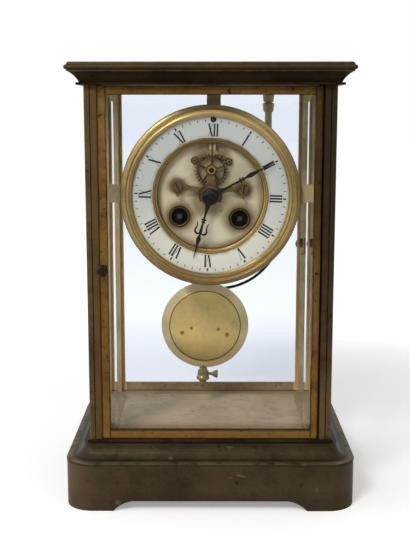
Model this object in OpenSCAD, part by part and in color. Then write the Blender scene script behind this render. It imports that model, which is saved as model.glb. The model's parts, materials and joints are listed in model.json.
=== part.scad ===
// Four-glass cage clock: a brass cage with two hinged glass doors, a visible
// escapement dial, a round two-train movement, a pendulum and a spiral gong.
// Lengths are in millimetres. The front looks along -Y and Z is up. The origin
// is the middle of the base where it stands.

/* [Base] */
// How far the base stands out past the cage on every side
base_overhang = 16.4; // [14:0.1:20]
// Height of the plain wall of the base
base_wall_h = 31.4; // [26:0.1:40]
// Corner radius of the base in plan
base_corner_r = 19; // [17:0.5:24]
// Wall thickness of the hollow base
base_wall_t = 3; // [2:0.25:4]
// Radius of the cove that joins the base to the cage
base_cove_r = 10; // [7:0.25:11]
// Thickness of the deck inside the base
deck_t = 3; // [2:0.25:5]
// Height of the arches between the feet
foot_h = 7; // [4:0.25:12]
// Length of each bracket foot at the ground
foot_len = 33.3; // [26:0.1:38]
// Length of the curved shoulder of a foot
foot_curve = 13; // [6:0.25:18]
// Thickness of the floor plate
floor_t = 1.5; // [1:0.1:3]
// Depth of the sunk panel in the floor plate
floor_panel_depth = 0.5; // [0.2:0.05:0.8]

/* [Cage] */
// Width of the cage across the posts
body_w = 165.8; // [158:0.2:180]
// Depth of the cage across the posts
body_d = 124.8; // [120:0.2:140]
// Height of the corner posts
body_h = 240.1; // [234:0.1:260]
// Width of a post seen from the front
post_w = 8.5; // [7.5:0.1:10]
// Depth of a post seen from the side
post_d = 10.4; // [9.5:0.1:12]
// How far the door stop reaches in from a post
stop_w = 3.4; // [2.5:0.1:5]
// Height of the side rails
side_rail_h = 6; // [4.5:0.1:9]
// Thickness of the side rails
side_rail_t = 6.4; // [5.6:0.1:8]
// Thickness of the top plate
top_plate_t = 1.6; // [1.2:0.1:3]
// How far the top plate stands out past the cage
top_plate_overhang = 4.4; // [3:0.1:6]
// Height of the cornice moulding
cornice_h = 12.8; // [11:0.1:18]
// How far the cornice stands out past the cage
cornice_overhang = 11.1; // [9:0.1:15]
// Thickness of the cornice top
cornice_top_t = 2.6; // [1.5:0.1:4]

/* [Glass] */
// Thickness of the panes
glass_t = 2.5; // [1.8:0.1:2.8]
// Thickness of a pane at its bevelled edge
glass_edge_t = 1.3; // [0.8:0.1:1.6]
// Width of the bevel inside its frame
bevel_w = 5; // [3:0.25:9]
// How far a pane reaches into its frame
glass_hold = 1.3; // [1:0.1:1.8]

/* [Doors] */
// Thickness of the door frames
door_t = 5; // [4.6:0.1:5.6]
// Width of a door stile
stile_w = 5.4; // [5:0.1:8]
// Height of a door rail
door_rail_h = 5.8; // [4.5:0.1:9]
// Gap between a door and its posts
door_gap = 0.2; // [0.1:0.05:0.4]
// Radius of the hinge pins
hinge_pin_r = 1; // [0.8:0.05:1.3]
// Height of the door knobs above the ground
knob_z = 164; // [120:1:200]
// Radius of a door knob
knob_r = 4.2; // [3:0.1:5]
// Radius of the spindle of a knob
spindle_r = 1.2; // [1:0.05:1.4]
// Length of the latch tongue from the spindle
tongue_len = 5.6; // [5:0.1:6.5]

/* [Dial] */
// Height of the centre of the dial up the posts, as a share of their height
dial_share = 0.6922; // [0.68:0.0002:0.705]
// How far the movement is turned in its case, clockwise, in degrees
lean = 2.2; // [0:0.1:3]
// Outer radius of the bezel
bezel_r = 61.5; // [60:0.1:64]
// Radius of the visible edge of the enamel
enamel_r = 53.2; // [52.6:0.1:54]
// Outer radius of the gilt ring round the recess
recess_ring_r = 39.3; // [38:0.1:41]
// Radius of the recessed centre of the dial
recess_r = 36.2; // [35:0.1:37]
// Sideways distance of a winding arbor from the centre
winding_x = 20.7; // [20.5:0.05:21.2]
// Distance of a winding arbor below the centre
winding_z = 15.2; // [14.5:0.05:16]
// Radius of the winding holes
winding_hole_r = 5.8; // [4:0.1:6.2]
// Length of the minute hand
minute_len = 50.7; // [46:0.1:52]
// Length of the hour hand
hour_len = 43.8; // [40:0.1:46]
// Angle of the minute hand from twelve
minute_angle = 59.5; // [0:0.5:359]
// Angle of the hour hand from twelve
hour_angle = 193.3; // [0:0.1:359]
// Radius of the hub of the minute hand
hub_r = 5.7; // [4:0.1:6.5]
// Height of a holding strap
strap_h = 12.4; // [10:0.1:16]

/* [Movement] */
// Radius of the movement plates
plate_r = 47; // [46.5:0.1:50]
// Thickness of the movement plates
plate_t = 1.8; // [1.4:0.1:2.4]
// Distance between the movement plates
plate_space = 29.7; // [29.3:0.1:31]
// Radius of the plate pillars
pillar_r = 3; // [2:0.1:3.5]
// Radius of the spring barrels
barrel_r = 18.4; // [16:0.1:18.5]
// Teeth of the barrels
barrel_teeth = 84;
// Leaves of the centre pinion
centre_leaves = 14;
// Teeth of the centre wheel
centre_teeth = 84;
// Leaves of the third pinion
third_leaves = 7;
// Teeth of the third wheel
third_teeth = 80;
// Leaves of the escape pinion
escape_leaves = 6;
// Radius of the small pivots
pivot_r = 0.4; // [0.3:0.05:0.5]
// Running clearance of a pivot or shaft in its hole
fit = 0.05; // [0.03:0.01:0.08]

/* [Escapement] */
// Height of the escape arbor above the centre of the dial
escape_z = 17.5; // [17:0.1:18]
// Radius of the escape wheel
escape_r = 12; // [11:0.1:12.2]
// Teeth of the escape wheel
escape_teeth = 30; // [24:2:36]
// Height of the pallet arbor above the centre of the dial
pallet_z = 33.5; // [33:0.1:34]
// Radius of the pallet pins
pallet_pin_r = 0.9; // [0.6:0.05:1]
// Clearance of a pallet pin outside the wheel at mid swing
pallet_clear = 0.3; // [0.2:0.05:0.5]

/* [Pendulum] */
// Distance of the pendulum behind the back plate
pendulum_y = 19; // [17:0.1:22]
// Radius of the bob
bob_r = 33; // [28:0.1:36]
// Distance of the centre of the bob below the centre of the dial
bob_drop = 103.5; // [100:0.1:106]
// Thickness of the bob
bob_t = 7; // [5:0.1:9]
// Radius of the pendulum rod
rod_r = 1.2; // [0.9:0.05:1.3]

/* [Strike] */
// Outer radius of the gong
gong_r = 48; // [46:0.1:50]
// How far the centre of the gong is below the centre of the dial
gong_drop = 30.5; // [29:0.1:32]
// Distance of the gong behind the middle of the case
gong_y = 38; // [34:0.1:42]
// Radius of the gong wire
gong_wire_r = 1.1; // [0.8:0.05:1.4]
// Spacing of the turns of the gong
gong_pitch = 6; // [5:0.1:7]
// Half turns of the gong
gong_half_turns = 8; // [4:1:9]
// Radius of the rod that carries the gong
gong_rod_r = 2.7; // [2:0.1:3.2]

/* [Hidden] */

$fn = 48;

// Colours
patina = [0.24, 0.21, 0.15];
golden = [0.62, 0.46, 0.20];
brass = [0.72, 0.60, 0.34];
dull_brass = [0.50, 0.42, 0.28];
steel = [0.45, 0.46, 0.48];
blue_steel = [0.10, 0.10, 0.14];
enamel = [0.93, 0.95, 0.96];
clear_glass = [0.80, 0.88, 0.95, 0.35];

// Heights of the case
eps = 0.01;
bead_h = 2;
bead_r = 0.8;
base_ledge = 2.1;
cove_z = base_wall_h + bead_h;
cove_fillet_h = 0.6;
deck_top = cove_z + base_cove_r + cove_fillet_h;
cage_z = deck_top + floor_t;
cage_top = cage_z + body_h;
dial_z = cage_z + body_h * dial_share;
cornice_z = cage_top + top_plate_t;
half_w = body_w / 2;
half_d = body_d / 2;
base_half_w = half_w + base_overhang;
base_half_d = half_d + base_overhang;
floor_step = 1.5;

// Posts and doors
post_in_x = half_w - post_w;
post_in_y = half_d - post_d;
post_mid_x = half_w - post_w / 2;
post_mid_y = half_d - post_d / 2;
door_back_y = half_d - door_t;
stop_clear = 0.4;
stop_y = door_back_y - stop_clear;
door_half = post_in_x - door_gap;
door_end_clear = 0.4;
door_z0 = cage_z + door_end_clear;
door_z1 = cage_top - door_end_clear;
door_mid_z = (door_z0 + door_z1) / 2;
pivot_x = door_half - door_t / 2;
pivot_y = half_d - door_t / 2;
opening_half = door_half - stile_w;
opening_h = door_z1 - door_z0 - 2 * door_rail_h;
rebate_depth = 3.1;
knob_x = opening_half + glass_hold + 0.1 + 0.4 + spindle_r + fit;
tongue_t = 1.4;
tongue_w = 2.6;
tongue_y = door_back_y - 0.5;
tongue_room = 0.2;
keeper_depth = knob_x + tongue_len - post_in_x + 0.5;
screw_r = 1.5;
screw_head_r = 3;
screw_head_t = 1.6;
screw_depth = 8;

// Side glass
slot_x = half_w - 2.4;
slot_w = glass_t + 0.1;
slot_depth = 3;
pocket_wall = 0.6;
pocket_x = slot_x - slot_w - pocket_wall;
side_glass_clear = 0.2;

// Layers of the dial, from the back plate forward
plate_front = -plate_space - plate_t;
pan_y1 = plate_front - 8;
pan_t = 1;
enamel_seat_y = pan_y1 - 2.9;
enamel_front = enamel_seat_y - 2.1;
dish_y1 = plate_front - 5.5;
dish_t = 1.2;
dish_front = dish_y1 - dish_t;
pan_r = bezel_r - 1.3;
enamel_out_r = enamel_r + 1.3;
regulator_z = enamel_r - 1.6;
foot_at = plate_r - 3;
hour_hand_y = enamel_front - 1.8;
minute_hand_y = enamel_front - 4.3;
hand_t = 0.6;
dial_foot_r = 1.6;

// Escapement layers
escape_y0 = plate_front - 9.5;
escape_wheel_t = 0.8;
anchor_y0 = plate_front - 11.7;
anchor_t = 1;
bush_r = 2.8;
pallet_y0 = escape_y0 + escape_wheel_t + 0.3;
pallet_cock_y0 = pallet_y0 - 1.3;
cock_lobe = [22.5, 5.3];
lobe_r = 3.7;
pallet_at = escape_r + pallet_clear + pallet_pin_r;
pallet_angle = 27;
pallet_x = pallet_at * cos(pallet_angle);
pallet_pin_z = escape_z + pallet_at * sin(pallet_angle);
pallet_post = [2.1, 1.5];

// Trains
winding_reach = sqrt(winding_x * winding_x + winding_z * winding_z);
barrel_m = 2 * winding_reach / (barrel_teeth + centre_leaves);
centre_m = 0.36;
third_m = 0.3375;
centre_to_third = centre_m * (centre_teeth + third_leaves) / 2;
third_to_escape = third_m * (third_teeth + escape_leaves) / 2;
third_pos = meet([0, 0], centre_to_third, [0, escape_z], third_to_escape, 1);
motion_m = 0.5;
cannon_leaves = 10;
minute_teeth = 30;
minute_leaves = 8;
hour_teeth = 32;
minute_pos = [0, -motion_m * (cannon_leaves + minute_teeth) / 2];
pin_leaves = 12;
pin_teeth = 72;
strike_leaves = 8;
strike_teeth = 60;
warning_leaves = 7;
warning_teeth = 56;
fly_leaves = 7;
strike_m = 0.33;
warning_m = 0.3;
pin_reach = barrel_m * (barrel_teeth + pin_leaves) / 2;
pin_angle = 77.8;
pin_pos = [-winding_x, -winding_z] + pin_reach * dir(pin_angle);
strike_angle = 104.5;
strike_pos = pin_pos + centre_m * (pin_teeth + strike_leaves) / 2 * dir(strike_angle);
warning_angle = 19.6;
warning_pos = strike_pos + strike_m * (strike_teeth + warning_leaves) / 2 * dir(warning_angle);
fly_angle = 107.9;
fly_pos = warning_pos + warning_m * (warning_teeth + fly_leaves) / 2 * dir(fly_angle);
hammer_pos = [-24, 38];
going_pos = [winding_x, -winding_z];
strike_barrel_pos = [-winding_x, -winding_z];

// Where each wheel lies between the plates
going_gear_y = -4;
strike_gear_y = -20.5;
gear_rim_t = 2;
centre_wheel_y = -23.5;
third_wheel_y = -27.5;
pin_wheel_y = -25.5;
strike_wheel_y = -28.5;
warning_wheel_y = -22;
wheel_t = 1;
shake = 0.1;
barrel_arbor_r = 3;
barrel_pivot_r = 2;
centre_arbor_r = 1.3;
centre_front_r = 1.2;
cannon_r = 2;
hour_pipe_r = 3;
ratchet_y = plate_front - 2;
ratchet_t = 1.6;
ratchet_r = 7.2;
ratchet_teeth = 20;
click_pivot = 11.5;
click_pivot_angle = 10;
click_nose_angle = 55;
click_gap = 0.35;
click_stud_r = 0.9;
hammer_arbor_r = 1;

// Strike work at the back, upright frame
gong_x = 6.2;
gong_z = dial_z - gong_drop;
gong_end_angle = 33.3;
gong_block = 4;
gong_rod_y = gong_y + 7;
gong_rod_x = gong_x + gong_r * cos(gong_end_angle) - gong_block * sin(gong_end_angle);
gong_block_z = gong_z + gong_r * sin(gong_end_angle) + gong_block * cos(gong_end_angle);
hammer_gap = 0.5;
hammer_head_r = 2.6;
hammer_head_len = 8;
hammer_angle = 160;
hammer_arm_y = plate_t + 4.7;

// Suspension
slide_clear = 0.3;
slide_w = 2.8;
slide_z0 = pallet_z + 2.5;
slide_h = 5;
shelf_z = pallet_z + 8.5;
shelf_t = 3;
cock_w = 5;
crown_r = 4;
crown_z = regulator_z - 2.6;
spring_t = 0.3;
spring_w = 7;
chop_z = pallet_z - 7.5;
chop_h = 5;
sleeve_top = bob_drop + bob_r + 0.4;

// Strap
strap_t = 1.5;
strap_z = dial_z + 1.5;
strap_in = pan_r - 2.2;
stop_in_x = post_in_x - stop_w;

function dir(a) = [cos(a), sin(a)];
function flip(v) = [for (i = [len(v) - 1 : -1 : 0]) v[i]];

// Points from p to q on an arc that stands s to the left of the straight line
function arc(p, q, s, n) =
    let (d = q - p, c = norm(d), r = (c * c / 4 + s * s) / (2 * abs(s)))
    let (m = (p + q) / 2, side = s / abs(s), nrm = side * [-d[1], d[0]] / c)
    let (o = m - nrm * (r - abs(s)), a0 = atan2(p[1] - o[1], p[0] - o[0]))
    let (sweep = -side * 2 * asin(c / 2 / r))
    [for (i = [0 : n]) o + r * dir(a0 + sweep * i / n)];

// The point at distance ra from a and rb from b, on the right of a to b when side is 1
function meet(a, ra, b, rb, side) =
    let (d = norm(b - a), u = (b - a) / d, t = (ra * ra - rb * rb + d * d) / (2 * d))
    a + u * t + side * [u[1], -u[0]] * sqrt(ra * ra - t * t);

// Outline of a stroke through points p with half widths w
function stroke(p, w) =
    let (last = len(p) - 1)
    let (n = [for (i = [0 : last])
        let (d = p[min(i + 1, last)] - p[max(i - 1, 0)]) [-d[1], d[0]] / norm(d)])
    concat([for (i = [0 : last]) p[i] + n[i] * w[i]],
           flip([for (i = [0 : last]) p[i] - n[i] * w[i]]));

// Outline of a gear: teeth n, module m, tooth width as a share of the pitch
function gear(n, m, share, add, ded, phase) =
    let (r = n * m / 2, pitch = 360 / n, h = share * pitch / 2)
    [for (i = [0 : n - 1], k = [[-1.1, -ded], [-1, 0], [-0.4, add], [0.4, add], [1, 0], [1.1, -ded]])
        (r + k[1] * m) * dir(phase + i * pitch + k[0] * h)];
function wheel_outline(n, m, phase) = gear(n, m, 0.42, 0.9, 0.95, phase);
function leaf_outline(n, m, phase) = gear(n, m, 0.33, 0.55, 1.35, phase);

// Phase of a gear b in mesh with a gear a: the line from a to b lies at angle d
function mesh(na, phase_a, nb, d) = d + 180 + 180 / nb - na / nb * (phase_a - d);
function angle_of(a, b) = atan2(b[1] - a[1], b[0] - a[0]);

// Phases at rest
centre_pinion_phase = 0;
centre_wheel_phase = 0;
going_phase = mesh(centre_leaves, centre_pinion_phase, barrel_teeth, angle_of([0, 0], going_pos));
third_pinion_phase = mesh(centre_teeth, centre_wheel_phase, third_leaves, angle_of([0, 0], third_pos));
third_wheel_phase = 0;
escape_pinion_phase = mesh(third_teeth, third_wheel_phase, escape_leaves,
    angle_of(third_pos, [0, escape_z]));
minute_phase = mesh(cannon_leaves, 0, minute_teeth, -90);
hour_phase = mesh(minute_leaves, 0, hour_teeth, 90);
strike_barrel_phase = 0;
pin_pinion_phase = mesh(barrel_teeth, strike_barrel_phase, pin_leaves, pin_angle);
strike_pinion_phase = mesh(pin_teeth, 0, strike_leaves, strike_angle);
warning_pinion_phase = mesh(strike_teeth, 0, warning_leaves, warning_angle);
fly_pinion_phase = mesh(warning_teeth, 0, fly_leaves, fly_angle);

// A flat shape in x and z, from y0 back to y1
module slab(y0, y1) {
    translate([0, y1, 0]) rotate([90, 0, 0]) linear_extrude(y1 - y0) children();
}

// A profile in radius and y, turned about the y axis
module turned(points) {
    rotate([-90, 0, 0]) rotate_extrude() polygon(points);
}

module rod(r, y0, y1) {
    translate([0, y0, 0]) rotate([-90, 0, 0]) cylinder(r = r, h = y1 - y0);
}

module at(p) {
    translate([p[0], 0, p[1]]) children();
}

module movement() {
    translate([0, 0, dial_z]) rotate([0, lean, 0]) children();
}

// A moulding with round corners: the profile gives the distance from the corner
// centre, and height
module moulding(hw, hd, r, profile) {
    for (k = [0 : 3]) {
        off = k % 2 == 0 ? hw - r : hd - r;
        run = k % 2 == 0 ? hd - r : hw - r;
        rotate([0, 0, 90 * k]) translate([off, run, 0]) {
            rotate([90, 0, 0]) linear_extrude(2 * run) polygon(profile);
            rotate_extrude(angle = 90) polygon(profile);
        }
    }
}

// A pane with a bevel on its front, the -y side, standing round the origin
module pane(w, h, bevel) {
    intersection() {
        linear_extrude(h, center = true) polygon(pane_profile(w / 2, bevel));
        rotate([0, -90, 0]) linear_extrude(w, center = true) polygon(pane_profile(h / 2, bevel));
    }
}
function pane_profile(h, bevel) = [
    [-h, 0], [-h, -glass_edge_t], [-h + bevel, -glass_t], [h - bevel, -glass_t], [h, -glass_edge_t], [h, 0]
];

module slotted_screw(r, length, head_r, head_t) {
    translate([0, 0, -length]) cylinder(r = r, h = length, $fn = 24);
    difference() {
        cylinder(r = head_r, h = head_t, $fn = 32);
        translate([0, 0, head_t]) cube([2 * head_r + 1, 0.16 * head_r + 0.2, head_t], center = true);
    }
}

// Base and cage

module base_plinth() {
    r = base_corner_r;
    cove_in = base_ledge + base_cove_r;
    shell_in = r - cove_in - 5.4;
    bead_z = base_wall_h + bead_h / 2;
    profile = concat(
        [[r - base_wall_t, 0], [r, 0], [r, base_wall_h], [r - 0.5, base_wall_h + 0.15]],
        [for (a = [-70 : 20 : 90]) [r - 0.5, bead_z] + bead_r * dir(a)],
        [for (a = [270 : -10 : 180]) [r - base_ledge, cove_z + base_cove_r] + base_cove_r * dir(a)],
        [[r - cove_in, deck_top], [shell_in, deck_top], [shell_in, deck_top - deck_t],
         [r - base_wall_t, base_wall_h - 4]]
    );
    deck_w = base_half_w - r + shell_in + 0.4;
    deck_d = base_half_d - r + shell_in + 0.4;
    color(patina) difference() {
        union() {
            moulding(base_half_w, base_half_d, r, profile);
            translate([0, 0, deck_top - deck_t / 2]) difference() {
                cube([2 * deck_w, 2 * deck_d, deck_t], center = true);
                cube([2 * deck_w - 44, 2 * deck_d - 44, deck_t + 1], center = true);
            }
        }
        slab(-base_half_d - 1, base_half_d + 1) foot_arch(base_half_w - foot_len);
        rotate([0, 0, 90]) slab(-base_half_w - 1, base_half_w + 1) foot_arch(base_half_d - foot_len);
        at_posts() translate([0, 0, deck_top - deck_t - 1]) cylinder(r = screw_r, h = deck_t + 2);
    }
}

module foot_arch(half) {
    side = arc([half, 0], [half - foot_curve, foot_h], -1.3, 8);
    polygon(concat([[-half, -1], [half, -1]], side, flip([for (p = side) [-p[0], p[1]]])));
}

module at_posts() {
    for (sx = [-1, 1], sy = [-1, 1]) translate([sx * post_mid_x, sy * post_mid_y, 0]) children();
}

module floor_plate() {
    w = half_w + floor_step;
    d = half_d + floor_step;
    panel_w = half_w - 16.2;
    panel_d = post_in_y - 7.7;
    color(dull_brass) difference() {
        translate([-w, -d, deck_top]) cube([2 * w, 2 * d, floor_t]);
        translate([-panel_w, -panel_d, cage_z - floor_panel_depth])
            cube([2 * panel_w, 2 * panel_d, floor_t]);
        at_posts() translate([0, 0, deck_top - 1]) cylinder(r = screw_r, h = floor_t + 2);
        hinge_holes(deck_top - 1, floor_t + 2);
    }
}

module hinge_holes(z, h) {
    for (s = [-1, 1])
        translate([s * pivot_x, -s * pivot_y, z]) cylinder(r = hinge_pin_r + fit, h = h);
}

// The corner post at the front right, the others are its mirror images
module post(latch) {
    line_w = 0.5;
    strip = 3.6;
    chamfer = 0.6;
    color(dull_brass) difference() {
        translate([0, 0, cage_z]) linear_extrude(body_h) difference() {
            union() {
                polygon([
                    [post_in_x, -half_d], [half_w - chamfer, -half_d], [half_w, -half_d + chamfer],
                    [half_w, -post_in_y], [post_in_x, -post_in_y]
                ]);
                translate([stop_in_x, -stop_y]) square([stop_w + 1, stop_y - post_in_y]);
            }
            translate([half_w - strip - line_w, -half_d - 1]) square([line_w, 1 + line_w]);
            translate([half_w - line_w, -half_d + strip]) square([1 + line_w, line_w]);
            translate([slot_x - slot_w, -post_in_y - slot_depth]) square([slot_w, slot_depth + 1]);
        }
        for (z = [cage_z - 1, cage_top - screw_depth])
            translate([post_mid_x, -post_mid_y, z]) cylinder(r = screw_r, h = screw_depth + 1);
        for (s = [-1, 1]) translate([stop_in_x - 1, -strap_screw_y, strap_z + s * strap_screw_dz])
            rotate([0, 90, 0]) cylinder(r = strap_screw_r, h = strap_screw_len + 1 + eps);
        if (latch) latch_cut();
    }
}
strap_screw_y = stop_y - 2.6;
strap_screw_dz = 3.4;
strap_screw_r = 0.9;
strap_screw_len = 3.2;

// The pocket is open to the inside of the case and goes deeper where the tongue ends
module latch_cut() {
    y0 = -tongue_y - tongue_room;
    reach = tongue_len + 1;
    translate([stop_in_x - 1, -stop_y - 1, knob_z - reach])
        cube([stop_w + 1, stop_y + 2 - post_in_y, 2 * reach]);
    translate([post_in_x - 1, y0, knob_z - reach])
        cube([pocket_x - post_in_x + 1, 1 - post_in_y - y0, 2 * reach]);
    translate([post_in_x - 1, y0, knob_z - reach])
        cube([keeper_depth + 1, tongue_t + 2 * tongue_room, 2 * reach]);
}

module post_front_right() { post(false); }
module post_front_left() { mirror([1, 0, 0]) post(true); }
module post_back_left() { rotate([0, 0, 180]) post(false); }
module post_back_right() { rotate([0, 0, 180]) mirror([1, 0, 0]) post(true); }

module side_rails() {
    color(dull_brass) for (sx = [-1, 1], top = [0, 1]) {
        z = top ? cage_top : cage_z;
        scale_z = top ? -1 : 1;
        translate([0, 0, z]) mirror([sx < 0 ? 1 : 0, 0, 0]) mirror([0, 0, scale_z < 0 ? 1 : 0])
            rotate([90, 0, 0]) linear_extrude(2 * post_in_y, center = true) difference() {
                translate([half_w - side_rail_t, 0]) square([side_rail_t, side_rail_h]);
                translate([slot_x - slot_w, side_rail_h - slot_depth]) square([slot_w, slot_depth + 1]);
            }
    }
}

module top_plate() {
    w = half_w + top_plate_overhang;
    d = half_d + top_plate_overhang;
    color(golden) difference() {
        translate([-w, -d, cage_top]) cube([2 * w, 2 * d, top_plate_t]);
        at_posts() translate([0, 0, cage_top - 1]) cylinder(r = screw_r, h = top_plate_t + 2);
        hinge_holes(cage_top - 1, top_plate_t + 2);
    }
}

// Cornice profile: how far it stands out past the cage, and the height above its foot
function cornice_profile() =
    let (h = cornice_h, o = cornice_overhang, foot = top_plate_overhang - 2)
    concat(
        arc([foot, 0], [o - 2.1, h - 6], 0.8, 8),
        [[o - 1.5, h - 5.8], [o - 1.5, h - 4.8]],
        [for (a = [-80 : 20 : 80]) [o - 1.5, h - 3.4] + 1.5 * dir(a) * (abs(a) > 85 ? 0.9 : 1)],
        [[o - 1.6, h - 1.5], [o - 1.9, h - 0.6], [o - 2.6, h]]
    );

module cornice() {
    side = cornice_profile();
    cavity_w = half_w - 1;
    cavity_d = half_d - 1;
    color(patina) difference() {
        translate([0, 0, cornice_z]) intersection() {
            rotate([90, 0, 0]) linear_extrude(3 * half_d, center = true) cornice_section(side, half_w);
            rotate([90, 0, 90]) linear_extrude(3 * half_w, center = true) cornice_section(side, half_d);
        }
        translate([-cavity_w, -cavity_d, cornice_z - 1])
            cube([2 * cavity_w, 2 * cavity_d, cornice_h - cornice_top_t + 1]);
    }
}

module cornice_section(side, half) {
    right = [for (p = side) [half + p[0], p[1]]];
    polygon(concat(right, flip([for (p = right) [-p[0], p[1]]])));
}

// Side panes
module side_pane() {
    w = 2 * (post_in_y + slot_depth - side_glass_clear);
    h = body_h - 2 * (side_rail_h - slot_depth + side_glass_clear);
    color(clear_glass) translate([slot_x - slot_w + 0.05, 0, (cage_z + cage_top) / 2])
        rotate([0, 0, 90]) pane(w, h, bevel_w + slot_depth - side_glass_clear);
}
module glass_right() { side_pane(); }
module glass_left() { mirror([1, 0, 0]) side_pane(); }

module slotted_screws() {
    color(steel) {
        at_posts() translate([0, 0, deck_top - deck_t]) mirror([0, 0, 1])
            slotted_screw(screw_r, deck_t + floor_t + screw_depth - 1.2, screw_head_r, screw_head_t);
        at_posts() translate([0, 0, cornice_z])
            slotted_screw(screw_r, top_plate_t + screw_depth - 0.2, screw_head_r, screw_head_t);
        for (sx = [0, 1], sz = [-1, 1]) mirror([sx, 0, 0])
            translate([stop_in_x - strap_t, -strap_screw_y, strap_z + sz * strap_screw_dz])
            rotate([0, -90, 0])
            slotted_screw(strap_screw_r, strap_t + strap_screw_len - 0.4, 1.8, 0.8);
        movement() for (s = [-1, 1]) translate([s * cock_lobe[0], anchor_y0, cock_lobe[1]])
            rotate([90, s * 12, 0]) slotted_screw(cock_screw_r, dish_front - anchor_y0 - 0.4, 3, 0.9);
    }
}
cock_screw_r = 1.1;

// Doors: the front one, the back one is turned half way round

module door_frame() {
    y0 = -half_d;
    lip = door_t - rebate_depth;
    hold = glass_hold + 0.1;
    bead_t = 1.4;
    bead_w = hold + 0.2;
    color(golden) {
        difference() {
            union() {
                translate([-door_half, y0, door_z0]) cube([door_half + pivot_x, door_t, door_z1 - door_z0]);
                translate([pivot_x, -pivot_y, door_z0]) linear_extrude(door_z1 - door_z0)
                    polygon([for (a = [-90 : 15 : 90]) door_t / 2 * dir(a)]);
                translate([pivot_x, -pivot_y, door_z0 - pin_reach_down])
                    cylinder(r = hinge_pin_r, h = door_z1 - door_z0 + pin_reach_down + pin_reach_up);
            }
            translate([-opening_half, y0 - 1, door_mid_z - opening_h / 2])
                cube([2 * opening_half, door_t + 2, opening_h]);
            translate([-opening_half - hold, y0 + lip, door_mid_z - opening_h / 2 - hold])
                cube([2 * (opening_half + hold), door_t, opening_h + 2 * hold]);
            translate([-knob_x, 0, knob_z]) rod(spindle_r + fit, y0 - 1, y0 + lip + door_t);
        }
        translate([0, y0 + door_t - bead_t, door_mid_z]) difference() {
            bead_box(opening_half + hold - 0.1, opening_h / 2 + hold - 0.1, 0, bead_t);
            bead_box(opening_half + hold - bead_w, opening_h / 2 + hold - bead_w, -1, bead_t + 2);
        }
    }
}
pin_reach_down = door_end_clear + floor_t - 0.3;
pin_reach_up = door_end_clear + top_plate_t - 0.2;

module bead_box(w, h, y, t) {
    translate([-w, y, -h]) cube([2 * w, t, 2 * h]);
}

module door_pane() {
    w = 2 * (opening_half + glass_hold);
    h = opening_h + 2 * glass_hold;
    color(clear_glass) translate([0, -half_d + door_t - 1.4, door_mid_z])
        pane(w, h, bevel_w + glass_hold);
}

// Knob, spindle and tongue: the tongue points up when the door is free
module door_knob() {
    y = -half_d;
    color(patina) at([-knob_x, knob_z]) {
        turned([
            [0, y - 9.6], [knob_r * 0.6, y - 9.3], [knob_r * 0.93, y - 8.2], [knob_r, y - 6.8],
            [knob_r * 0.88, y - 5.2], [knob_r * 0.5, y - 4.1], [knob_r * 0.45, y - 2.2],
            [knob_r * 0.62, y - 1.2], [knob_r * 0.78, y - 0.9], [knob_r * 0.78, y - 0.1],
            [spindle_r, y - 0.1], [spindle_r, -tongue_y + tongue_t / 2], [0, -tongue_y + tongue_t / 2]
        ]);
        slab(-tongue_y, -tongue_y + tongue_t) {
            circle(r = tongue_w / 2);
            translate([-tongue_w / 2, 0]) square([tongue_w, tongue_len]);
        }
    }
}

module front_door_frame() { door_frame(); }
module front_door_glass() { door_pane(); }
module front_door_knob() { door_knob(); }
module back_door_frame() { rotate([0, 0, 180]) door_frame(); }
module back_door_glass() { rotate([0, 0, 180]) door_pane(); }
module back_door_knob() { rotate([0, 0, 180]) door_knob(); }

// Dial

module bezel() {
    back = pan_y1 - pan_t;
    lip = enamel_front - 0.12;
    color(brass) movement() turned(concat(
        [[enamel_out_r + 0.2, back], [bezel_r, back], [bezel_r, back - 3.2], [bezel_r - 0.5, back - 3.7]],
        arc([bezel_r - 0.9, back - 4.2], [bezel_r - 3.4, back - 8.2], -0.9, 6),
        arc([bezel_r - 3.6, back - 8.6], [bezel_r - 6.2, back - 8.4], -0.8, 6),
        [[bezel_r - 6.4, back - 7.4], [enamel_r + 0.6, lip - 1.2], [enamel_r, lip - 0.9],
         [enamel_r, lip], [enamel_out_r + 0.2, lip]]
    ));
}

module dial_pan() {
    hole_r = recess_ring_r + 0.2;
    color(dull_brass) movement() {
        difference() {
            turned([
                [hole_r, pan_y1], [hole_r, enamel_seat_y], [enamel_out_r, enamel_seat_y],
                [enamel_out_r, pan_y1 - pan_t], [pan_r, pan_y1 - pan_t], [pan_r, pan_y1]
            ]);
            at([0, regulator_z]) rod(1 + fit, enamel_seat_y - 1, pan_y1 + 1);
        }
        for (a = [45 : 90 : 315]) at(foot_at * dir(a)) rod(dial_foot_r, pan_y1, plate_front);
    }
}

module chapter_ring() {
    color(enamel) movement() difference() {
        turned(concat(
            [[recess_ring_r + 0.05, enamel_seat_y], [recess_ring_r + 0.05, enamel_front + 0.15]],
            arc([recess_ring_r + 0.5, enamel_front], [enamel_out_r, enamel_front], -0.25, 8),
            [[enamel_out_r, enamel_seat_y]]
        ));
        at([0, regulator_z]) rod(1.7, enamel_front - 2, enamel_seat_y + 1);
    }
}

module centre_dish() {
    color(enamel) movement() difference() {
        rod(recess_ring_r, dish_front, dish_y1);
        rod(hour_pipe_r + 0.5, dish_front - 1, dish_y1 + 1);
        at([0, escape_z]) rod(2.2, dish_front - 1, dish_y1 + 1);
        at([0, pallet_z]) rod(2.2, dish_front - 1, dish_y1 + 1);
        for (s = [-1, 1]) {
            at([s * winding_x, -winding_z]) rod(winding_hole_r + 0.8, dish_front - 1, dish_y1 + 1);
            at([s * cock_lobe[0], cock_lobe[1]]) rod(cock_screw_r, dish_front - 1, dish_y1 + 1);
        }
    }
}

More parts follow.
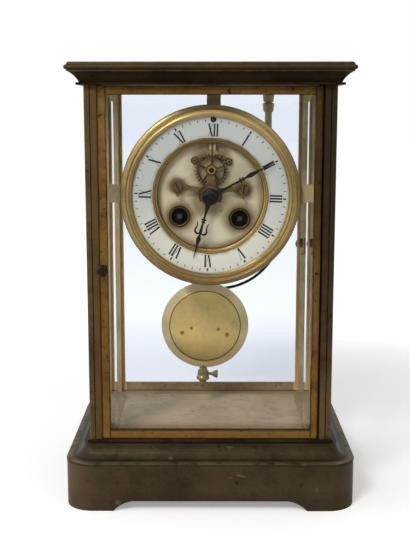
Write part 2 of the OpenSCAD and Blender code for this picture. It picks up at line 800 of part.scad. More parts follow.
module gilt_rings() {
    front = enamel_front - 0.7;
    color(brass) movement() {
        turned([
            [recess_r, dish_front], [recess_ring_r, dish_front], [recess_ring_r, front + 0.4],
            [recess_ring_r - 0.5, front], [recess_ring_r - 0.9, front + 0.1], [recess_ring_r - 1.4, front + 1.2],
            [recess_r + 0.5, front + 1.6], [recess_r, front + 2.6]
        ]);
        for (s = [-1, 1]) at([s * winding_x, -winding_z]) turned([
            [winding_hole_r, dish_y1], [winding_hole_r + 0.75, dish_y1], [winding_hole_r + 0.75, dish_front],
            [winding_hole_r + 1.7, dish_front], [winding_hole_r + 1.5, dish_front - 0.5],
            [winding_hole_r + 0.6, dish_front - 0.7], [winding_hole_r, dish_front - 0.3]
        ]);
    }
}

// The straps hold the dial pan to the door stops of the front posts
module dial_straps() {
    y1 = pan_y1 + strap_t;
    color(brass) for (sx = [0, 1]) mirror([sx, 0, 0]) difference() {
        union() {
            translate([strap_in, pan_y1, strap_z - strap_h / 2])
                cube([stop_in_x - strap_in, strap_t, strap_h]);
            translate([stop_in_x - strap_t, -stop_y + 1, strap_z - strap_h / 2])
                cube([strap_t, stop_y - 1 + y1, strap_h]);
        }
        for (s = [-1, 1]) translate([stop_in_x - strap_t - 1, -strap_screw_y, strap_z + s * strap_screw_dz])
            rotate([0, 90, 0]) cylinder(r = strap_screw_r, h = strap_t + 2);
    }
}

// Hands, drawn pointing up and turned to the time

module minute_hand() {
    half = [
        [2.4, 4.6], [1.3, 8.5], [0.75, 13], [0.65, 22.4], [2, 22.9], [2, 23.6], [0.8, 23.8],
        [0.8, 24.5], [1.6, 24.8], [1.6, 25.4], [0.65, 25.9], [0.8, 27.5], [1.65, 31], [1.35, 33.2],
        [0.75, 36.5], [0.55, 40], [0.15, minute_len]
    ];
    color(blue_steel) movement() rotate([0, minute_angle, 0]) difference() {
        union() {
            slab(minute_hand_y, minute_hand_y + hand_t) {
                circle(r = hub_r);
                polygon(concat(half, flip([for (p = half) [-p[0], p[1]]])));
            }
            turned([
                [0, minute_hand_y - 1.5], [1.9, minute_hand_y - 1.4], [2.4, minute_hand_y - 0.9],
                [4.3, minute_hand_y - 0.6], [hub_r - 0.6, minute_hand_y + eps], [0, minute_hand_y + 0.3]
            ]);
        }
        rod(centre_front_r + 0.02, minute_hand_y - 2, minute_hand_y + 2);
    }
}

module hour_hand() {
    arm = [[0.9, 26.4], [2.2, 26.7], [3.7, 25.8], [4.1, 24.3], [3.4, 22.2], [3.3, 20.4], [4, 18.6]];
    arm_w = [0.5, 0.75, 0.75, 0.6, 0.5, 0.4, 0.2];
    half = concat(
        [[2.1, 4.3], [1.4, 8], [0.7, 13], [0.65, 15.8], [1.9, 16.3], [1.9, 16.9], [0.8, 17.1],
         [0.8, 17.7], [1.5, 18], [1.5, 18.5], [0.7, 19], [0.85, 22], [1.1, 25.4]],
        flip(stroke(arm, arm_w)),
        [[0.6, 27.2], [1.7, 30.2], [1.2, 32.6], [0.6, 35.5], [0.5, 38], [0.15, hour_len]]
    );
    color(blue_steel) movement() rotate([0, hour_angle, 0]) difference() {
        slab(hour_hand_y, hour_hand_y + hand_t) {
            circle(r = 4.9);
            polygon(concat(half, flip([for (p = half) [-p[0], p[1]]])));
        }
        rod(hour_pipe_r + 0.02, hour_hand_y - 2, hour_hand_y + 2);
    }
}

// Escapement

module escape_wheel() {
    tip = 0.2;
    root_r = escape_r - 2.4;
    rim_r = escape_r - 3.6;
    pitch = 360 / escape_teeth;
    first = pitch / 2;
    teeth = [for (i = [0 : escape_teeth - 1], k = [[-0.27, root_r], [-0.1, escape_r - 0.4],
        [-0.05, escape_r], [0.05, escape_r], [0.22, root_r]]) k[1] * dir(first + (i + k[0]) * pitch)];
    back = plate_t - 0.1;
    color(brass) movement() at([0, escape_z]) {
        slab(escape_y0, escape_y0 + escape_wheel_t) difference() {
            polygon(teeth);
            difference() {
                circle(r = rim_r);
                circle(r = 2.4);
                for (a = [0 : 72 : 288]) rotate(a + 90) translate([0, -0.6]) square([rim_r + 1, 1.2]);
            }
        }
        rod(0.5, anchor_y0 + anchor_t + shake, -shake);
        rod(pivot_r, anchor_y0 + 0.1, back);
        slab(third_wheel_y - 0.6, third_wheel_y + wheel_t + 0.6)
            polygon(leaf_outline(escape_leaves, third_m, escape_pinion_phase));
    }
}

module escape_cock() {
    y1 = anchor_y0 + anchor_t;
    arm = [[0, 3], [6, 3.4], [11, 4.6], [16, 5.4], [cock_lobe[0], cock_lobe[1] + 0.6]];
    arm_w = [5, 2.4, 1.5, 1.7, 2.6];
    tail = [cock_lobe + [-5.5, 0.6], cock_lobe + [3.2, -1.6], cock_lobe + [1.4, -4.4], cock_lobe + [0.2, -7.4],
        cock_lobe + [-1.8, -4.6], cock_lobe + [-4.4, -2.6], cock_lobe + [-7, -2.2]];
    color(dull_brass) movement() difference() {
        union() {
            slab(anchor_y0, y1) {
                translate([0, escape_z]) circle(r = 4);
                polygon([[-2.2, escape_z], [-3, 9], [-6, 4], [6, 4], [3, 9], [2.2, escape_z]]);
                difference() {
                    circle(r = 8);
                    translate([-10, -20]) square([20, 16]);
                    translate([-10, 4.5]) square([20, 16]);
                }
                for (s = [0, 1]) mirror([s, 0]) {
                    polygon(stroke(arm, arm_w));
                    polygon(tail);
                    translate(cock_lobe) circle(r = lobe_r);
                }
            }
            for (s = [-1, 1]) at([s * cock_lobe[0], cock_lobe[1]]) rod(2.6, anchor_y0, dish_front);
            at([0, escape_z]) turned([
                [0, anchor_y0 - 0.2], [bush_r - 1, anchor_y0 - 0.2], [bush_r - 0.9, anchor_y0 - 0.8],
                [bush_r - 0.2, anchor_y0 - 0.8], [bush_r, anchor_y0 - 0.6], [bush_r, y1], [0, y1]
            ]);
        }
        rod(hour_pipe_r + 0.6, anchor_y0 - 1, y1 + 1);
        at([0, escape_z]) rod(pivot_r + fit, anchor_y0 - 1, y1 + 1);
        for (s = [-1, 1]) at([s * cock_lobe[0], cock_lobe[1]]) rod(cock_screw_r, anchor_y0 - 1, dish_front + 1);
    }
}

// The anchor hangs from its arbor behind the wheel and carries one pallet pin on each side
module anchor() {
    eye = [pallet_x, pallet_pin_z];
    arm = [
        [0.9, pallet_z - 0.2], [1.6, pallet_z - 2], [2.2, pallet_z - 3.8], [4.4, pallet_z - 5.8],
        [7.8, pallet_z - 7.1], [10.4, pallet_z - 8.2], eye + [0, 0.6]
    ];
    arm_w = [0.9, 1.1, 1.3, 1.3, 1.2, 1.3, 1.6];
    color(dull_brass) movement() difference() {
        union() {
            slab(pallet_y0, pallet_y0 + anchor_t) {
                translate([0, pallet_z]) circle(r = 1.5);
                translate([0, pallet_z - 4.8]) circle(r = 2);
                for (s = [0, 1]) mirror([s, 0]) {
                    polygon(stroke(arm, arm_w));
                    translate(eye) circle(r = 2.5);
                }
            }
            for (s = [-1, 1]) at([s * eye[0], eye[1]])
                rod(pallet_pin_r, escape_y0 - 0.5, pallet_y0 + anchor_t);
        }
        at([0, pallet_z]) rod(0.9, pallet_y0 - 1, pallet_y0 + 3);
    }
}

module pallet_cock() {
    y0 = pallet_cock_y0;
    post = [pallet_post[0], pallet_z + pallet_post[1]];
    foot_r = 0.7;
    side = post[0] + foot_r;
    bottom = pallet_z - 2.4;
    slit = 0.35;
    color(dull_brass) movement() difference() {
        union() {
            slab(y0, y0 + 1) difference() {
                translate([-side, bottom]) square([2 * side, post[1] + foot_r - bottom]);
                translate([-slit, pallet_z + 0.9]) square([2 * slit, post[1]]);
                translate([-slit, bottom - 1]) square([2 * slit, pallet_z - bottom]);
            }
            for (s = [-1, 1]) at([s * post[0], post[1]]) rod(foot_r, y0, dish_front);
        }
        at([0, pallet_z]) rod(pivot_r + fit, y0 - 1, y0 + 2);
    }
}

// Arbor of the anchor, with the crutch and its fork behind the back plate
module pallet_arbor() {
    y0 = plate_t + 3.2;
    fork_z = 5.5;
    inner = rod_r + 0.3;
    color(steel) movement() {
        at([0, pallet_z]) {
            rod(0.9, pallet_y0, -shake);
            rod(pivot_r, pallet_cock_y0 + 0.1, pallet_y0 + eps);
            rod(0.7, -shake - eps, y0 + 2);
        }
        slab(y0, y0 + 1.5) {
            translate([0, pallet_z]) circle(r = 2.3);
            translate([-1.2, fork_z]) square([2.4, pallet_z - fork_z]);
            translate([-inner - 1, fork_z - 1.5]) square([2 * inner + 2, 3]);
        }
        for (s = [0, 1]) mirror([s, 0, 0])
            translate([inner, y0 + 1.5 - eps, fork_z - 1.5]) cube([1, pendulum_y + 3.5 - y0 - 1.5, 3]);
    }
}

// Movement plates

module plate_holes(y) {
    spots = [
        [[0, 0], centre_front_r], [third_pos, pivot_r], [pin_pos, pivot_r], [strike_pos, pivot_r],
        [warning_pos, pivot_r], [fly_pos, pivot_r], [hammer_pos, hammer_arbor_r],
        [going_pos, barrel_pivot_r], [strike_barrel_pos, barrel_pivot_r]
    ];
    for (s = spots) at(s[0]) rod(s[1] + fit, y - 1, y + plate_t + 1);
}

pillar_spots = [[17, 39.5], [42, 8], [0, -43], [-42, 8]];

module front_plate() {
    color(brass) movement() difference() {
        union() {
            rod(plate_r, plate_front, -plate_space, $fn = 96);
            for (p = pillar_spots) at(p) {
                rod(pillar_r, -plate_space - eps, 0);
                rod(1.8, -eps, plate_t + 1.4);
            }
            at(minute_pos) rod(1, plate_front - 4.6, plate_front + eps);
            for (s = [-1, 1]) at(click_at(s)) rod(click_stud_r, ratchet_y - 0.3, plate_front + eps);
        }
        plate_holes(plate_front);
        at([0, escape_z]) rod(2.2, plate_front - 1, -plate_space + 1);
        at([0, pallet_z]) rod(2.2, plate_front - 1, -plate_space + 1);
    }
}

module back_plate() {
    color(brass) movement() difference() {
        rod(plate_r, 0, plate_t, $fn = 96);
        plate_holes(0);
        at([0, escape_z]) rod(pivot_r + fit, -1, plate_t + 1);
        at([0, pallet_z]) rod(0.7 + fit, -1, plate_t + 1);
        for (p = pillar_spots) at(p) rod(1.8, -1, plate_t + 1);
    }
}

// A wheel with five crossings
module crossed_wheel(n, m, phase, hub, band = 1.1) {
    r = n * m / 2;
    rim = r - 0.95 * m - band;
    difference() {
        polygon(wheel_outline(n, m, phase));
        difference() {
            circle(r = rim);
            circle(r = hub);
            for (a = [0 : 72 : 288]) rotate(a) translate([0, -0.09 * r]) square([rim + 1, 0.18 * r]);
        }
    }
}

module arbor(r) {
    rod(r, -plate_space + shake, -shake);
    rod(pivot_r, plate_front + 0.1, plate_t - 0.1);
}

module centre_wheel() {
    color(brass) movement() {
        rod(centre_arbor_r, -plate_space + shake, -shake);
        rod(centre_front_r, minute_hand_y - 2, plate_t - 0.1);
        slab(centre_wheel_y, centre_wheel_y + wheel_t)
            crossed_wheel(centre_teeth, centre_m, centre_wheel_phase, 3);
        slab(going_gear_y - 0.6, going_gear_y + gear_rim_t + 0.6)
            polygon(leaf_outline(centre_leaves, barrel_m, centre_pinion_phase));
    }
}

// Motion work under the dial

module cannon_pinion() {
    y0 = minute_hand_y + hand_t;
    y1 = plate_front - 0.2;
    color(brass) movement() difference() {
        union() {
            rod(cannon_r, y0, y1);
            slab(y1 - 2, y1) polygon(leaf_outline(cannon_leaves, motion_m, 0));
        }
        rod(centre_front_r + 0.02, y0 - 1, y1 + 1);
    }
}

module minute_wheel() {
    y1 = plate_front - 0.6;
    color(brass) movement() at(minute_pos) difference() {
        union() {
            slab(y1 - wheel_t, y1) polygon(wheel_outline(minute_teeth, motion_m, minute_phase));
            slab(y1 - 3.8, y1 - wheel_t + eps) polygon(leaf_outline(minute_leaves, motion_m, 0));
        }
        rod(1 + fit, y1 - 5, y1 + 1);
    }
}

module hour_wheel() {
    y0 = plate_front - 4.1;
    color(brass) movement() difference() {
        union() {
            slab(y0, y0 + wheel_t) polygon(wheel_outline(hour_teeth, motion_m, hour_phase));
            rod(hour_pipe_r, hour_hand_y - 0.2, y0 + wheel_t);
        }
        rod(cannon_r + fit, hour_hand_y - 1, y0 + wheel_t + 1);
    }
}

module third_wheel() {
    color(brass) movement() at(third_pos) {
        arbor(0.65);
        slab(third_wheel_y, third_wheel_y + wheel_t) crossed_wheel(third_teeth, third_m, third_wheel_phase, 2.2);
        slab(centre_wheel_y - 0.6, centre_wheel_y + wheel_t + 0.6)
            polygon(leaf_outline(third_leaves, centre_m, third_pinion_phase));
    }
}

// A spring barrel: a drum from y0 to y1 with a toothed rim at gear_y
module barrel(y0, y1, gear_y, phase) {
    color(brass) difference() {
        union() {
            rod(barrel_r, y0, y1);
            slab(gear_y, gear_y + gear_rim_t) polygon(wheel_outline(barrel_teeth, barrel_m, phase));
        }
        rod(barrel_arbor_r + fit, y0 - 2, y1 + 2);
    }
}

module going_barrel() {
    movement() at(going_pos) barrel(-20, -3, going_gear_y, going_phase);
}

module strike_barrel() {
    movement() at(strike_barrel_pos) barrel(-19.5, -2, strike_gear_y, strike_barrel_phase);
}

// Winding arbor with its ratchet and the square for the key
module winding_arbor(hand) {
    square_w = 3.8;
    saw = [for (i = [0 : ratchet_teeth - 1], k = [[0, ratchet_r], [0.08, ratchet_r - 1]])
        k[1] * dir(hand * (i + k[0]) * 360 / ratchet_teeth)];
    color(steel) {
        rod(barrel_arbor_r, -plate_space + shake, -shake);
        rod(barrel_pivot_r, ratchet_y, plate_t - 0.1);
        slab(ratchet_y, ratchet_y + ratchet_t) polygon(saw);
        slab(dish_front - 0.8, ratchet_y + eps) square(square_w, center = true);
    }
}

module going_arbor() { movement() at(going_pos) winding_arbor(1); }
module strike_arbor() { movement() at(strike_barrel_pos) winding_arbor(-1); }

function click_at(s) = [s * (winding_x + click_pivot * cos(click_pivot_angle)),
    -winding_z + click_pivot * sin(click_pivot_angle)];

// A click lies along its ratchet with its nose just clear of the teeth
module click(s) {
    pivot = click_at(1);
    nose = [winding_x, -winding_z] + (ratchet_r + click_gap) * dir(click_nose_angle);
    out = nose - [winding_x, -winding_z];
    heel = nose + out / norm(out) * 1.6;
    color(steel) movement() mirror([s < 0 ? 1 : 0, 0, 0]) slab(ratchet_y, ratchet_y + ratchet_t)
        difference() {
            polygon(concat([for (a = [-140 : 20 : 60]) pivot + 2 * dir(a)], [heel, nose]));
            translate(pivot) circle(r = click_stud_r + fit);
        }
}
module going_click() { click(1); }
module strike_click() { click(-1); }

// Strike train

module pin_wheel() {
    pin_circle_r = 10.4;
    color(brass) movement() at(pin_pos) {
        arbor(1.2);
        slab(pin_wheel_y, pin_wheel_y + wheel_t) crossed_wheel(pin_teeth, centre_m, 0, 3, 3.2);
        slab(strike_gear_y - 0.8, strike_gear_y + gear_rim_t + 0.8)
            polygon(leaf_outline(pin_leaves, barrel_m, pin_pinion_phase));
        for (a = [0 : 45 : 315]) at(pin_circle_r * dir(a)) rod(0.5, pin_wheel_y - 1.7, pin_wheel_y + 0.5);
    }
}

module strike_wheel() {
    color(brass) movement() at(strike_pos) {
        arbor(0.75);
        slab(strike_wheel_y, strike_wheel_y + 0.8) crossed_wheel(strike_teeth, strike_m, 0, 2);
        slab(pin_wheel_y - 0.5, pin_wheel_y + wheel_t + 0.5)
            polygon(leaf_outline(strike_leaves, centre_m, strike_pinion_phase));
    }
}

module warning_wheel() {
    color(brass) movement() at(warning_pos) {
        arbor(0.6);
        slab(warning_wheel_y, warning_wheel_y + 0.8) crossed_wheel(warning_teeth, warning_m, 0, 1.8);
        slab(strike_wheel_y - 0.5, strike_wheel_y + 1.3)
            polygon(leaf_outline(warning_leaves, strike_m, warning_pinion_phase));
    }
}

module fly() {
    color(brass) movement() at(fly_pos) {
        arbor(0.55);
        slab(warning_wheel_y - 0.5, warning_wheel_y + 1.3)
            polygon(leaf_outline(fly_leaves, warning_m, fly_pinion_phase));
        slab(-18, -8) square([11, 0.6], center = true);
        rod(1.2, -18, -8);
    }
}

// The hammer: its tail hangs by the pins, and its head waits outside the gong
module hammer() {
    pivot = upright(hammer_pos);
    away = gong_r - gong_pitch / 2 + gong_wire_r + hammer_gap + hammer_head_len / 2;
    head = [gong_x, gong_z - gong_pitch / 2] + away * dir(hammer_angle);
    color(steel) {
        movement() {
            at(hammer_pos) {
                rod(hammer_arbor_r, plate_front + 0.1, hammer_arm_y + 1);
                rod(1.8, third_wheel_y, third_wheel_y + 2);
            }
            slab(third_wheel_y + 0.5, third_wheel_y + 1.5)
                polygon(stroke([hammer_pos, [hammer_pos[0], 19.3]], [1.1, 0.6]));
        }
        slab(hammer_arm_y - 1, hammer_arm_y + 1) {
            polygon(stroke([pivot, head], [1.2, 0.9]));
            translate(pivot) circle(r = 2.6);
            translate(head) circle(r = 1.6);
        }
        at(head) {
            rod(1, hammer_arm_y, gong_y);
            translate([0, gong_y, 0]) rotate([0, 90 - hammer_angle, 0])
                cylinder(r = hammer_head_r, h = hammer_head_len, center = true);
        }
    }
}

// A point of the movement in the upright frame of the case
function upright(p) = [p[0] * cos(lean) + p[1] * sin(lean), dial_z - p[0] * sin(lean) + p[1] * cos(lean)];

// The gong is a flat spiral of half circles that shrink by half a pitch each
module gong() {
    color(blue_steel) translate([gong_x, gong_y, gong_z]) {
        gong_arc(gong_r, 0, -90, 90 + gong_end_angle);
        for (i = [1 : gong_half_turns]) {
            left = i % 2 == 1;
            gong_arc(gong_r - i * gong_pitch / 2, left ? -gong_pitch / 2 : 0, left ? 90 : -90, 180);
        }
    }
}

module gong_arc(r, shift, start, sweep) {
    translate([0, 0, shift]) rotate([90, 0, 0]) rotate([0, 0, start])
        rotate_extrude(angle = sweep, $fn = 60) translate([r, 0]) circle(r = gong_wire_r, $fn = 20);
}

module gong_stand() {
    collar_r = 4.4;
    color(dull_brass) {
        translate([gong_x, gong_y, gong_z]) rotate([0, 90 - gong_end_angle, 0]) rotate([0, -90, 0])
            translate([gong_r - gong_block, -gong_block + 1, 0]) cube([2 * gong_block, gong_block + 8, 2 * gong_block]);
        translate([gong_rod_x, gong_rod_y, 0]) rotate_extrude() polygon([
            [0, gong_block_z], [gong_rod_r, gong_block_z], [gong_rod_r, cage_top - 17.6],
            [collar_r - 0.6, cage_top - 17], [collar_r, cage_top - 11], [gong_rod_r, cage_top - 10.4],
            [gong_rod_r, cage_top], [0, cage_top]
        ]);
    }
}

// Regulation and suspension

module regulator_arbor() {
    y = pendulum_y - crown_r;
    color(steel) movement() at([0, regulator_z]) {
        rod(1, enamel_front + 2, y + 1.6);
        slab(enamel_front + 0.6, enamel_front + 2 + eps) square(1.4, center = true);
        slab(y - 0.8, y + 0.8) polygon(gear(8, 0.5, 0.3, 0.7, 0.8, 22.5));
    }
}

// Crown wheel whose bore takes the stem of the slide
module rating_screw() {
    z0 = shelf_z + shelf_t + 0.1;
    fins = 16;
    color(brass) movement() translate([0, pendulum_y, 0]) difference() {
        union() {
            translate([0, 0, z0]) cylinder(r = 2.8, h = crown_z - z0);
            translate([0, 0, crown_z - 1]) cylinder(r = crown_r + 0.9, h = 1);
            for (i = [0 : fins - 1]) rotate([0, 0, i * 360 / fins])
                translate([crown_r - 0.7, -0.15, crown_z - eps]) cube([1.4, 0.3, 0.75]);
        }
        translate([0, 0, z0 - 1]) cylinder(r = 1.2 + fit, h = crown_z - z0);
    }
}

module suspension_slide() {
    stem_top = crown_z - 1.6;
    color(brass) movement() translate([0, pendulum_y, 0]) {
        difference() {
            translate([-slide_w, -6, slide_z0]) cube([2 * slide_w, 12, slide_h]);
            translate([-0.5, -7, slide_z0 - 1]) cube([1, 14, slide_h - 0.8]);
        }
        translate([0, 0, slide_z0 + slide_h - eps]) cylinder(r = 1.2, h = stem_top - slide_z0 - slide_h);
    }
}

module suspension_cock() {
    foot_w = 9;
    top = cage_top - dial_z - 3;
    cheek_in = slide_w + slide_clear;
    arm_y = plate_t + 7.2;
    color(dull_brass) movement() difference() {
        union() {
            translate([-foot_w, plate_t, pallet_z + 3]) cube([2 * foot_w, 2.5, 9.5]);
            translate([-cock_w, plate_t, pallet_z + 4.5]) cube([2 * cock_w, 7.2, top - pallet_z - 4.5]);
            translate([-cock_w, plate_t, shelf_z]) cube([2 * cock_w, pendulum_y + 8 - plate_t, shelf_t]);
            for (s = [0, 1]) mirror([s, 0, 0])
                translate([cheek_in, pendulum_y - 6, pallet_z + 1.5])
                cube([cock_w - cheek_in, 12, shelf_z - pallet_z - 1.5 + eps]);
        }
        at([0, regulator_z]) rod(1 + fit, plate_t - 1, arm_y + plate_t + 1);
        translate([0, pendulum_y, shelf_z - 1]) cylinder(r = 1.5, h = shelf_t + 2);
    }
}

module suspension_spring() {
    top = pallet_z + 5;
    color(steel) movement() translate([0, pendulum_y, 0]) {
        translate([-spring_t / 2, -spring_w / 2, chop_z - 1]) cube([spring_t, spring_w, top - chop_z + 1]);
        translate([-1.6, -spring_w / 2 - 1, chop_z - chop_h]) cube([3.2, spring_w + 2, chop_h]);
    }
}

module pendulum_rod() {
    top = chop_z - chop_h;
    bottom = -sleeve_top - 15;
    color(steel) movement() translate([0, pendulum_y, bottom]) cylinder(r = rod_r, h = top - bottom);
}

module pendulum_bob() {
    f = -bob_t / 2;
    flat_r = bob_r - 6.1;
    rim = 0.5;
    holes = [[17, -6.2, 1.6], [10.2, -2.2, 1.1]];
    color(brass) movement() translate([0, pendulum_y, -bob_drop]) difference() {
        turned([
            [0, f], [flat_r - 0.5, f], [flat_r - 0.4, f + 0.5], [flat_r, f + 0.5], [flat_r + 0.1, f + 0.1],
            [bob_r - 0.4, -rim - 0.2], [bob_r, -rim], [bob_r, rim], [bob_r - 0.4, rim + 0.2],
            [flat_r + 0.1, -f], [0, -f]
        ]);
        translate([0, 0, -bob_r - 1]) cylinder(r = rod_r + fit, h = 2 * bob_r + 2);
        for (h = holes, s = [-1, 1]) at([s * h[0], h[1]]) rod(h[2], f - 1, f + 1.4);
    }
}

// Clamped sleeve that carries the bob on the rod
module rating_sleeve() {
    z = -sleeve_top;
    color(dull_brass) movement() translate([0, pendulum_y, 0]) difference() {
        rotate_extrude() polygon([
            [rod_r + fit, z], [3, z], [3, z - 1.4], [4.1, z - 2.4], [4.2, z - 5.8], [4.9, z - 7.4],
            [4.9, z - 8.6], [4.3, z - 9.2], [2.7, z - 9.6], [2.7, z - 13], [rod_r + fit, z - 13]
        ]);
        translate([0, 0, z - 4.6]) rotate([0, 90, 0]) cylinder(r = 1.1 + fit, h = 8);
    }
}

module lock_screw() {
    z = -sleeve_top - 4.6;
    color(dull_brass) movement() translate([0, pendulum_y, z]) rotate([0, 90, 0])
        rotate_extrude() polygon([
            [0, rod_r + 0.15], [1.1, rod_r + 0.15], [1.1, 6.2], [1.5, 7], [3, 9.8], [3.1, 10.6],
            [2.6, 11.2], [0, 11.2]
        ]);
}

base_plinth();
floor_plate();
post_front_left();
post_front_right();
post_back_left();
post_back_right();
side_rails();
top_plate();
cornice();
glass_left();
glass_right();
slotted_screws();
front_door_frame();
front_door_glass();
front_door_knob();
back_door_frame();
back_door_glass();
back_door_knob();
bezel();
dial_pan();
chapter_ring();
centre_dish();
gilt_rings();
dial_straps();
minute_hand();
hour_hand();
escape_wheel();
escape_cock();
anchor();
pallet_cock();
pallet_arbor();
front_plate();
back_plate();
centre_wheel();
cannon_pinion();
minute_wheel();
hour_wheel();
third_wheel();
going_barrel();
going_arbor();
strike_barrel();
strike_arbor();
going_click();
strike_click();
pin_wheel();
strike_wheel();
warning_wheel();
fly();
hammer();
gong();
gong_stand();
regulator_arbor();
rating_screw();
suspension_slide();
suspension_cock();
suspension_spring();
pendulum_rod();
pendulum_bob();
rating_sleeve();
lock_screw();
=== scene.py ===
import json
import math

import bmesh
import bpy
from mathutils import Matrix, Vector


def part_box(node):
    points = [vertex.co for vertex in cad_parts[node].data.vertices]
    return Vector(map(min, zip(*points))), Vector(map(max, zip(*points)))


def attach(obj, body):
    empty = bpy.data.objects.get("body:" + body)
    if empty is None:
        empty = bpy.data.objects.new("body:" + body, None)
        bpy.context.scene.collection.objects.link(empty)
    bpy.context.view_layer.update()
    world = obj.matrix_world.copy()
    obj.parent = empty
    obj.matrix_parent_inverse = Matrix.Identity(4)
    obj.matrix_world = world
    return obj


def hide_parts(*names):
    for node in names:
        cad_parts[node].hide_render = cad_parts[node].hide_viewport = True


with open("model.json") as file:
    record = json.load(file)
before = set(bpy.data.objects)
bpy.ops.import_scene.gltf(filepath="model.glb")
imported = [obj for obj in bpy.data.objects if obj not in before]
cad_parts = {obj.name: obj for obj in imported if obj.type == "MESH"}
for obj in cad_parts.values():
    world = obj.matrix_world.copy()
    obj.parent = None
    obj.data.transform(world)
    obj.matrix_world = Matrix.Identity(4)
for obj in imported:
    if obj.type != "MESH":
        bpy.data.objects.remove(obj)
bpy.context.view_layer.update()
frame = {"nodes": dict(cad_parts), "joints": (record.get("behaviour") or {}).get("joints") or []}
nodes = frame["nodes"]
joints = {joint["name"]: joint for joint in frame["joints"]}

MM = 0.001

# Camera, fitted to the photograph with the clock 300 mm high. Its place is in metres.
IMAGE_W = 410
FOCAL_PX = 971.46
SENSOR_W = 36
CAMERA_AT = (-0.00082, -0.70503, 0.26797)
CAMERA_PITCH = 9.42
CAMERA_YAW = 0.25

# Half the side of the studio's floor, in metres
FLOOR_HALF = 8


# Places on the clock, all in millimetres

def lowest(name):
    """The lowest corner of a node."""
    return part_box(name)[0] / MM


def highest(name):
    """The highest corner of a node."""
    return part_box(name)[1] / MM


def axis_place(name):
    """Where the axis of a joint stands, across and up in the case."""
    x, _, z = joints[name]["pos_m"]
    return (x / MM, z / MM)


# The movement is turned a little clockwise in its case
DIAL_Z = axis_place("centre_turn")[1]
LEAN = math.atan2(joints["suspension_lift"]["axis"][0], joints["suspension_lift"]["axis"][2])


def dial_point(x, z):
    """A point of the movement's own upright frame, across and up in the case."""
    return (
        x * math.cos(LEAN) + z * math.sin(LEAN),
        DIAL_Z - x * math.sin(LEAN) + z * math.cos(LEAN),
    )


# Dial
WINDING_HOLES = (axis_place("strike_winding"), axis_place("going_winding"))
ESCAPE_ARBOR = axis_place("escape_turn")
COCK_SCREWS = (dial_point(-22.5, 5.3), dial_point(22.5, 5.3))
COCK_SCREW_TURNS = (-106.8, -98.3)
COCK_SCREW_R = 4.0
COCK_SCREW_FRONT = -44.0
COCK_SCREW_BACK = -35.0
ENAMEL_DOME = 0.25
ENAMEL_FRONT = lowest("chapter_ring").y + ENAMEL_DOME
ENAMEL_IN_R = 39.8
ENAMEL_OUT_R = 54.5
RECESS_FRONT = lowest("centre_dish").y
NUMERAL_IN_R = 40.3
NUMERAL_OUT_R = 48.8
MARK_IN_R = 49.9
MARK_OUT_R = 51.5
HOUR_MARK_IN_R = 49.5
MARK_W = 0.5
HOUR_MARK_W = 1.0
PAINT_FILM = 0.04
PAINT_ROOT = 0.1
REGULATOR_R = 51.6
EYELET_R = 1.75
EYELET_RIM_R = 0.28
EYELET_PROUD = 0.05

# Movement and pendulum
PALLET_PINS = (dial_point(-11.76, 23.5), dial_point(11.76, 23.5))
ANCHOR_STEM = dial_point(0, 31)
ARBOR_FRONT = lowest("going_arbor").y
HANDS_FRONT = -46.0
BOB_DROP = 103.5
BOB_RIM_R = 28.0
BOB_FACE = lowest("pendulum_bob").y + 0.3

# Case
BODY_HALF_W = highest("side_rails").x
BODY_HALF_D = highest("post_back_right").y
DOOR_GAP = 0.2
DOOR_END_GAP = 0.4
DOOR_STILE = 5.4
DOOR_RAIL = 5.8
DOOR_HALF = highest("front_door_frame").x
DOOR_OPENING_HALF = DOOR_HALF - DOOR_STILE
DOOR_BOTTOM = lowest("side_rails").z + DOOR_END_GAP
DOOR_TOP = highest("side_rails").z - DOOR_END_GAP
BEVEL_TOP = 57.5
POST_IN_X = DOOR_HALF + DOOR_GAP
POST_GROOVE = 3.85
PANE_IN_X = 78.0
DOOR_IN_Y = 57.5
PANEL_HALF_W = 66.0
PANEL_HALF_D = 46.2
BASE_WALL_H = 31.4
BEAD_TOP = BASE_WALL_H + 2
BASE_HALF_W = highest("base_plinth").x
DECK_TOP = highest("base_plinth").z
CORNICE_TOP = highest("cornice").z
CORNICE_STEP = CORNICE_TOP - 5.8


# Shader maths

def srgb(red, green, blue):
    """A colour seen on screen, 0 to 255, as the linear colour that shaders take."""
    linear = []
    for part in (red, green, blue):
        part /= 255
        linear.append(part / 12.92 if part <= 0.04045 else ((part + 0.055) / 1.055) ** 2.4)
    return (*linear, 1)


def grey(level):
    return (level, level, level, 1)


# Dark brown of dirt and painted shade along the edges and seams of the doors
EDGE_DIRT_AND_SHADE = srgb(28, 19, 10)


